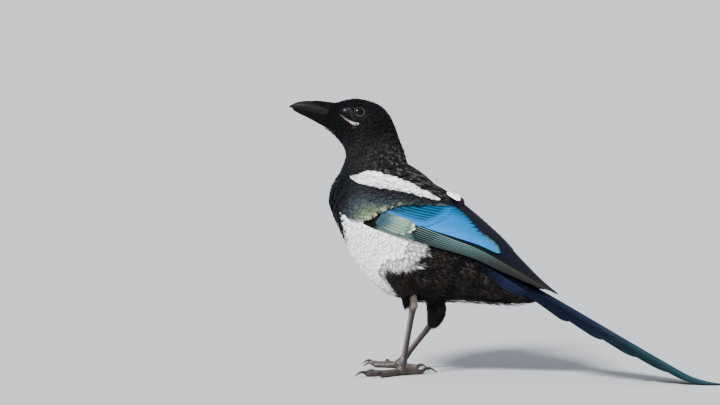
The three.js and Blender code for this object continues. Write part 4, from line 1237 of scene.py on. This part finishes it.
def tail_colour(kind, index, v, u, s, q):
    """A tail feather's or side covert's colour, by its kind and the place on it and along the tail."""
    if kind == "covert":
        return mix(tone(0x080B14), tone(0x1A2238), smooth(0.2, -0.7, v) * smooth(0.15, 0.6, u))
    colour = mix(tone(0x131C30), tone(0x14343A), smooth(80, 165, s))
    # A pale teal mottle over the rear of the tail: painted glints of the tail's sheen.
    mottle = 0.5 + 0.5 * np.sin(0.9 * s + 1.1 * q) * np.sin(0.37 * s - 1.7 * q)
    colour = mix(colour, tone(0x2C4A50), 0.5 * mottle * smooth(60, 120, s))
    colour = mix(colour, tone(0x07090F), smooth(0.1, 0.5, v if kind == "right" else -v) * 0.6)
    return mix(colour, tone(0x100D1C), smooth(0.93, 1.0, u) * 0.8)


blades = []
for index, (length, outer, height, width) in enumerate(RECTRICES):
    for sign, side in ((-1, "left"), (1, "right")):
        root = (10, sign * (7 - width * 0.3 + 0.3 * index))
        tip = (length + 2, sign * (outer - width / 2))
        lift = (height + (0.1 if sign < 0 else 0),) * 2
        outer_share = 0.42 if sign < 0 else 0.58
        plate = blade(tail_skin, root, tip, width, lift, 0.0, outer_share, 0.9, sag=0.0)
        blades.append((side, index, plate))
for index, (root, tip, width) in enumerate(SIDE_COVERTS):
    grid, *rest = blade(flank_skin, root, tip, width, (-0.6, 0.7), outer=0.5, round_tip=0.6)
    blades.append(("covert", index, (grid, *rest)))
    grid = (grid * (1, -1, 1))[:, :, ::-1]
    blades.append(("covert", index, (grid, *(share[:, ::-1] for share in rest))))
tail_gloss = vane_finish("tail vanes", 0.75, 0.03)
coat_piece(vane_mesh("tail_feathers", blades, tail_colour), tail_gloss, "tail_feathers", "tail")

# The bill: two hollow horn sheaths over bone, stout, with a ridge along the top, a slight hook, and
# cutting edges that close on each other. The upper one overlaps the lower a little at its tip.
# Black bristles hide its nostrils, and a young bird's fleshy gape still swells at its corners.
# Ribs from the face to the tip: number, x and z of the ridge, the cutting edge and the lower edge, and
# half the width
BILL = [
    (0, -40, 196, -40, 186.3, -44, 177, 7.4), (1, -47, 198.3, -47, 188.4, -52, 179.6, 7.2),
    (2, -55, 199.4, -55, 190, -58, 181.6, 6.4), (3, -63, 200.2, -62.5, 191.4, -64, 184.8, 5.3),
    (4, -70, 200.4, -69, 192.6, -70, 188, 4.2), (5, -76.5, 199.6, -75, 193.7, -75.5, 190.6, 3),
    (6, -81.5, 197.6, -79.6, 194.6, -79.3, 192.6, 1.7), (7, -84, 195.6, -81.4, 195, -80.6, 193.7, 0.7),
]
MOUTH_GAP = 0.3


def bill_skin(upper, t, angle, h=0.0):
    """A point on one half of the bill, with angle 0 on its ridge."""
    top_x, top_z, cut_x, cut_z, low_x, low_z, half = np.moveaxis(along(BILL, t * (len(BILL) - 1)), -1, 0)
    ridge_x, ridge_z = (top_x, top_z) if upper else (low_x, low_z)
    share = np.maximum(np.cos(angle), 0)
    gap = MOUTH_GAP / 2 if upper else -MOUTH_GAP / 2
    rise = (ridge_z - cut_z - gap + (h if upper else -h)) * share
    y = (half + h) * np.sin(angle) * (1 - 0.18 * share)
    return turned(np.stack([cut_x + (ridge_x - cut_x) * share, y, cut_z + gap + rise], -1))


def horn_finish(name, dark, pale, gloss, shine):
    look = Finish(name, Specular_IOR_Level=shine, Coat_Roughness=0.25)
    place = look.place()
    grain = look.noise(look.scaled(place, 180.0, 900.0, 900.0), 1.0, 4.0)
    worn = look.noise(place, 260.0, 3.0)
    colour = look.blend(grain * worn * 1.6, dark, pale)
    return look.feed(
        Base_Color=colour, Roughness=gloss + 0.25 * worn, Coat_Weight=0.03 * worn,
        Normal=look.bump(grain, 0.25, 0.0002))


bill_horn = horn_finish("bill horn", tone(0x020203), tone(0x121010), 0.45, 0.05)
for name in ("upper", "lower"):
    made = bmesh.new()
    wrap(made, partial(bill_skin, name == "upper"), 48, 64)
    bill = piece("bill_" + name + "_horn", made, finish=bill_horn)
    bill.data.set_sharp_from_angle(angle=math.radians(50))
    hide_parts("bill_" + name)

BRISTLES = 420
start = picked(24, BRISTLES, (0.0, 1.0), (math.radians(-88), math.radians(88)))
low = smooth(math.radians(40), math.radians(88), np.abs(start[:, 1]))
limit = 0.5 - 0.42 * low  # they reach farthest along the ridge
end = np.stack([limit * (0.45 + 0.55 * start[:, 0]), start[:, 1] * 0.8], -1)
start = np.stack([np.maximum(end[:, 0] - 0.17, 0.01), start[:, 1]], -1)
bristles = lines_between(partial(bill_skin, True), start, end)
hair_piece("coat_bristles", [(bristles, 1.2, 0.7, 0.3, 4, 0x060607)])

# The gape: along the neck and head, degrees round, and radius of the swollen skin
GAPE = [
    (0.811, 87, 0.4), (0.77, 90, 0.6), (0.729, 93.5, 0.75), (0.69, 95, 0.8), (0.65, 95.5, 0.95),
    (0.615, 93, 1.25), (0.6, 86, 0.8),
]


def gape_finish():
    look = Finish("gape skin", Specular_IOR_Level=0.4)
    folds = look.noise(look.place(), 650.0, 3.0)
    shaded = look.tinted(0.08 + (1.75 * folds) ** 4.0)
    return look.feed(Base_Color=shaded, Roughness=0.4 + 0.3 * folds, Normal=look.bump(folds, 0.5, 0.0003))


gape_look = gape_finish()
for side, sign in (("left", -1), ("right", 1)):
    joints = []
    for i, (t, degrees, radius) in enumerate(GAPE):
        spot = neck_skin(t, sign * math.radians(degrees), -0.1)
        joints.append((i, *spot, radius, 0.75 * radius))
    made = bmesh.new()
    wrap(made, partial(limb_skin, joints), 24, 48)
    gape = piece("gape_" + side, made, finish=gape_look)
    share = smooth(joints[0][1], joints[-2][1], millimetres(gape.data)[:, 0])
    flesh = mix(tone(0x6B5650), tone(0x958E88), smooth(0.72, 0.95, share))
    give_tint(gape.data, mix(tone(0x1A1718), flesh, smooth(0.1, 0.5, share)))

# The eyes: a wet, near-black ball with a dark brown iris, held by thin grey lids whose rim shows as a
# fine pale line. Only a small part of the ball shows.
CORNEA = 0.35  # how far the cornea stands out of the ball
LID_REACH, LID_OUT = (3.8, 3.4), 3.25  # how far the lids' middle is from the eye's axis and centre
LID_ROUND = 0.42  # radius of their rounded rim


def eye_finish():
    look = Finish("eye", Roughness=0.06, Specular_IOR_Level=0.12, Coat_Weight=0.1, Coat_Roughness=0.03)
    fleck = look.noise(look.place(), 2500.0, 2.0)
    return look.feed(Base_Color=look.tinted(0.6 + 0.8 * fleck))


def lid_finish():
    look = Finish("lids", Specular_IOR_Level=0.3)
    folds = look.noise(look.place(), 1500.0, 3.0)
    shaded = look.tinted(0.5 + folds)
    return look.feed(Base_Color=shaded, Roughness=0.5 + 0.2 * folds, Normal=look.bump(folds, 0.4, 0.0002))


wet, lid_skin = eye_finish(), lid_finish()
for side, (middle, outward, surface) in eyes.items():
    made = bmesh.new()
    verts = bmesh.ops.create_uvsphere(made, u_segments=48, v_segments=32, radius=1)["verts"]
    turn = Vector((0, 0, 1)).rotation_difference(Vector(outward)).to_matrix()
    colours = []
    for vert in verts:
        cone = math.acos(max(-1, min(1, vert.co.z)))
        bulge = CORNEA * math.exp(-(cone / 0.5) ** 2)
        iris = smooth(0.42, 0.46, cone) * (1 - smooth(0.78, 0.84, cone))
        colours.append(stretch(tone(0x020202), tone(0x120B08), iris))
        vert.co = in_place(middle + np.array(turn @ vert.co) * (EYE_RADIUS - CORNEA + bulge))
    ball = piece("eye_ball_" + side, made, finish=wet)
    give_tint(ball.data, np.array(colours))
    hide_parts("eye_" + side)

    made = bmesh.new()
    ring = bmesh.ops.create_grid(made, x_segments=56, y_segments=10, size=1)["verts"]
    aside = unit(np.cross(outward, [0.0, 0.0, 1.0]))
    upward = np.cross(aside, outward)
    for vert in ring:  # round the eye, and round the lid's own thickness
        round_eye = math.pi * (vert.co.x + 1)
        across = math.pi * (vert.co.y + 1)
        reach_x, reach_y = (reach + LID_ROUND * math.cos(across) for reach in LID_REACH)
        out = LID_OUT + LID_ROUND * math.sin(across) - 0.12 * math.cos(2 * round_eye)
        spot = middle + outward * out
        spot = spot + aside * reach_x * math.cos(round_eye) + upward * reach_y * math.sin(round_eye)
        vert.co = in_place(spot)
    bmesh.ops.remove_doubles(made, verts=made.verts, dist=1e-6)
    lids = piece("eye_lids_" + side, made, finish=lid_skin)
    spots = millimetres(lids.data) - middle
    inner = 1 - smooth(3.5, 4.1, np.linalg.norm(spots - np.outer(spots @ outward, outward), axis=1))
    below = smooth(-1.5, 2.5, spots[:, 0] - spots[:, 2])  # the pale rim shows behind and below
    give_tint(lids.data, mix(tone(0x0C0C0E), tone(0x404046), inner * below))

# Legs: slender shanks and long toes in horny scales, with dark brown-grey skin. Each leg's shank, pad
# and toes are wrapped one by one and fused; the scales are raised rings along their fronts.
HEELS = {"left": (17, -17, 54.5), "right": (25, 16, 42)}
ANKLES = {"left": (9.4, -20, 8.5), "right": (-4.5, 22.5, 8.5)}
FEET = {"left": (8, -20.4), "right": (-8.4, 23.4)}
HEADINGS = {"left": -42, "right": 21}  # where the middle toe points, in degrees from ahead to the right
TOES = {  # degrees from the middle toe, length, thickness, the claw's length and arch, knuckles
    "hind": (178, 15, 2.6, 11.5, 2.6, 1), "inner": (27, 17, 2.35, 8, 1.9, 2),
    "middle": (0, 25, 2.45, 8.5, 1.9, 3), "outer": (-27, 20, 2.3, 7.5, 1.9, 3),
}
SOLE, TOE_START = 2.0, 3.2
SHANK = [  # share of the way from heel to ankle, radius fore and aft, and across
    (0, 2.6, 2.4), (0.06, 3.4, 3.1), (0.2, 2.4, 2.1), (0.6, 2.15, 1.9), (0.85, 2.3, 2.1), (0.97, 2.9, 2.8),
]
HEEL_KNOB = [  # the near heel's pale bare joint: x, y, z and radius
    (17.2, -19.6, 63, 1.5), (17.2, -20.2, 60.5, 2.6), (17, -19, 56.5, 3.0), (17, -17.6, 53, 2.7),
    (16.7, -17.2, 49.5, 2.0),
]
LEG_VOXEL, LEG_PASSES = 0.32, 3
SCALE_LENGTH = {"shank": 2.7, "toe": 1.7}
SCALE_RISE = 0.13


def ground_way(side, turn):
    angle = math.radians(HEADINGS[side] + (turn if side == "left" else -turn))
    return np.array([-math.cos(angle), math.sin(angle), 0])


def shank_joints(side):
    heel, ankle = np.array(HEELS[side], float), np.array(ANKLES[side], float)
    rows = [(i, *stretch(heel, ankle, t), a, b) for i, (t, a, b) in enumerate(SHANK)]
    return rows + [(len(SHANK), *FEET[side], 4.5, 2.5, 2.6)]


def toe_joints(side, name):
    turn, length, thick, _, _, knuckles = TOES[name]
    steps = knuckles * 2 + 1
    rows = []
    for i in range(steps + 1):
        t = i / steps
        r = stretch(thick, thick * 0.76, t) * (0.78 if i == steps else 0.86 if i % 2 else 1)
        middle = np.array([*FEET[side], SOLE + 0.9 * max(0, 1 - 3 * t)])
        middle = middle + ground_way(side, turn) * (TOE_START + length * t)
        rows.append((i, *middle, r, r))
    return rows


def claw_joints(side, name):
    turn, length, _, reach, arch, _ = TOES[name]
    rows = []
    for i, t in enumerate((0, 0.25, 0.5, 0.75, 1)):
        z = SOLE + 0.2 + arch * math.sin(math.pi * t**0.9) * 0.9 - 1.5 * t**2
        out = TOE_START + length - 1.2 + (reach + 1.2) * t
        middle = np.array([*FEET[side], z]) + ground_way(side, turn) * out
        rows.append((i, *middle, stretch(1.6, 0.28, t**0.85), stretch(1.15, 0.24, t**0.85)))
    return rows


def pad_skin(side, t, angle):
    ahead = ground_way(side, 0)
    across = np.array([-ahead[1], ahead[0], 0])
    bulge = np.sin(math.pi * t)
    middle = np.array([*FEET[side], SOLE + 1.4])
    out = middle + ahead * (4.6 * np.cos(math.pi * t))[..., None]
    out = out + across * (3.8 * bulge * np.sin(angle))[..., None]
    return out + np.array([0, 0, 1]) * (3.7 * bulge * np.cos(angle))[..., None]


def leg_finish():
    look = Finish("leg skin", Specular_IOR_Level=0.5)
    place = look.place()
    scales = look.node("TexVoronoi", {"feature": "DISTANCE_TO_EDGE"}, {"Vector": place, "Scale": 900.0})
    mottle = look.noise(place, 700.0, 3.0)
    return look.feed(
        Base_Color=look.tinted(0.6 + 0.8 * mottle), Roughness=0.34 + 0.25 * mottle,
        Normal=look.bump(scales * 2 + mottle * 0.5, 0.4, 0.0003))


leg_look = leg_finish()
claw_horn = horn_finish("claw horn", tone(0x080707), tone(0x352E2A), 0.25, 0.4)
for side in THIGHS:
    made = bmesh.new()
    parts = {"shank": shank_joints(side), **{name: toe_joints(side, name) for name in TOES}}
    for joints in parts.values():
        wrap(made, partial(limb_skin, joints), 28, 60)
    if side == "left":
        knob = [(i, x, y, z, radius, radius) for i, (x, y, z, radius) in enumerate(HEEL_KNOB)]
        wrap(made, partial(limb_skin, knob), 28, 36)
    wrap(made, partial(pad_skin, side), 28, 24)
    leg = piece("leg_" + side, made)
    fuse(leg, LEG_VOXEL, LEG_PASSES)
    points, normals = millimetres(leg.data), read(leg.data, "normal")
    t_line = np.linspace(0, 1, 160)
    middles, stations, fronts = [], [], []
    for name, joints in parts.items():
        line = along(joints, t_line * (len(joints) - 1))[:, :3]
        run = np.concatenate([[0], np.cumsum(np.linalg.norm(np.diff(line, axis=0), axis=1))])
        middles.append(line)
        stations.append(run / SCALE_LENGTH["shank" if name == "shank" else "toe"])
        fronts.append(np.full(len(line), name == "shank"))
    middles, stations, fronts = (np.concatenate(g) for g in (middles, stations, fronts))
    middle_tree = finder(middles)
    found = np.array([middle_tree.find(p)[1] for p in points])
    way = np.where(fronts[found, None], [-1.0, 0, 0], [0, 0, 1.0])  # scales face ahead, or up on toes
    front = smooth(-0.2, 1.2, ((points - middles[found]) * way).sum(-1))
    ramp = stations[found] % 1
    scale = SCALE_RISE * front * (ramp**2 - smooth(0.9, 1.0, ramp))
    moved = points + normals * scale[:, None]
    moved[:, 2] = np.maximum(moved[:, 2], 0)
    leg.data.vertices.foreach_set("co", in_place(moved).ravel())
    leg.data.update()
    groove = smooth(0.82, 1.0, ramp) * front
    heel_z = HEELS[side][2]
    heel = smooth(heel_z - 7, heel_z - 2, points[:, 2])
    foot = smooth(14, 6, points[:, 2])
    # The shank's skin is painted paler where it faces ahead and darker behind: a painted highlight and
    # painted shade.
    leg_colour_with_painted_light = mix(tone(0x1C1514), tone(0x5E5256), smooth(-0.3, 0.6, -normals[:, 0]))
    leg_colour_with_painted_light = mix(leg_colour_with_painted_light, tone(0x332A26), foot)
    leg_colour_with_painted_light = mix(leg_colour_with_painted_light, tone(0x131112), groove * 0.8)
    leg_colour_with_painted_light = mix(leg_colour_with_painted_light, tone(0x7C7065), heel * (0.9 if side == "left" else 0.3))
    give_tint(leg.data, leg_colour_with_painted_light)
    leg.data.materials.append(leg_look)
    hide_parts("tarsus_" + side, "foot_" + side, *("toe_" + name + "_" + side for name in TOES))
    for name in TOES:
        made = bmesh.new()
        joints = claw_joints(side, name)
        wrap(made, partial(limb_skin, joints), 20, 28)
        claw = piece("claw_horn_" + name + "_" + side, made, finish=claw_horn)
        for vert in claw.data.vertices:
            vert.co.z = max(vert.co.z, 0)
        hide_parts("claw_" + name + "_" + side)

# The studio: a plain pale floor, a soft light from the camera's left and above, a dim sky all round,
# and a camera at the picture's angle, which is from the bird's left and a little behind.
VIEW_AZIMUTH, VIEW_ELEVATION = math.radians(20), math.radians(5)
VIEW_SCALE = 0.74  # millimetres of the bird for each pixel of the picture's width
PICTURE = (720, 405)
GROUND_POINT = (400, 372)  # where the picture has the ground under x = 0 of the sizes above
CAMERA_DISTANCE = 5.0
SENSOR = 36.0
FLOOR_RADIUS = 40.0


def floor_finish():
    look = Finish("floor", Specular_IOR_Level=0.2)
    grain = look.noise(look.place(), 40.0, 3.0)
    colour = look.blend(grain, (0.37, 0.375, 0.385), (0.39, 0.395, 0.405))
    return look.feed(Base_Color=colour, Roughness=0.8 + 0.1 * grain)


made = bmesh.new()
bmesh.ops.create_circle(made, cap_ends=True, segments=64, radius=FLOOR_RADIUS)
floor = piece("floor", made, finish=floor_finish())
floor.parent = None

right = np.array([math.cos(VIEW_AZIMUTH), math.sin(VIEW_AZIMUTH), 0])
ahead = np.array([-math.sin(VIEW_AZIMUTH) * math.cos(VIEW_ELEVATION),
                  math.cos(VIEW_AZIMUTH) * math.cos(VIEW_ELEVATION), -math.sin(VIEW_ELEVATION)])
up = np.cross(right, ahead)
middle = in_place((0, 0, 0)) + right * (PICTURE[0] / 2 - GROUND_POINT[0]) * VIEW_SCALE * 0.001
middle = middle + up * (GROUND_POINT[1] - PICTURE[1] / 2) * VIEW_SCALE * 0.001
camera_data = bpy.data.cameras.new("camera")
camera_data.sensor_width = SENSOR
camera_data.lens = SENSOR * CAMERA_DISTANCE / (PICTURE[0] * VIEW_SCALE * 0.001)
camera_data.clip_end = 100
camera = bpy.data.objects.new("camera", camera_data)
camera.location = Vector(middle - ahead * CAMERA_DISTANCE)
camera.rotation_euler = Vector(ahead).to_track_quat("-Z", "Y").to_euler()
bpy.context.scene.collection.objects.link(camera)
bpy.context.scene.camera = camera

# The light's place from the bird: along the view's right, up, and towards the camera
LIGHT_PLACE = (-0.75, 1.0, 0.9)
LIGHT_STRENGTH, LIGHT_WIDTH = 9.4, math.radians(14)
SKY_COLOUR, SKY_STRENGTH = (0.85, 0.9, 1.0, 1), 0.8
lamp = bpy.data.lights.new("key", "SUN")
lamp.energy = LIGHT_STRENGTH
lamp.angle = LIGHT_WIDTH
light = bpy.data.objects.new("key", lamp)
to_right, to_up, to_camera = LIGHT_PLACE
light.location = Vector(middle + right * to_right + np.array([0, 0, to_up]) - ahead * to_camera)
light.rotation_euler = (Vector(middle) - light.location).to_track_quat("-Z", "Y").to_euler()
bpy.context.scene.collection.objects.link(light)
world = bpy.data.worlds.new("studio")
world.use_nodes = True
sky = world.node_tree.nodes["Background"].inputs
sky["Color"].default_value = SKY_COLOUR
sky["Strength"].default_value = SKY_STRENGTH
bpy.context.scene.world = world
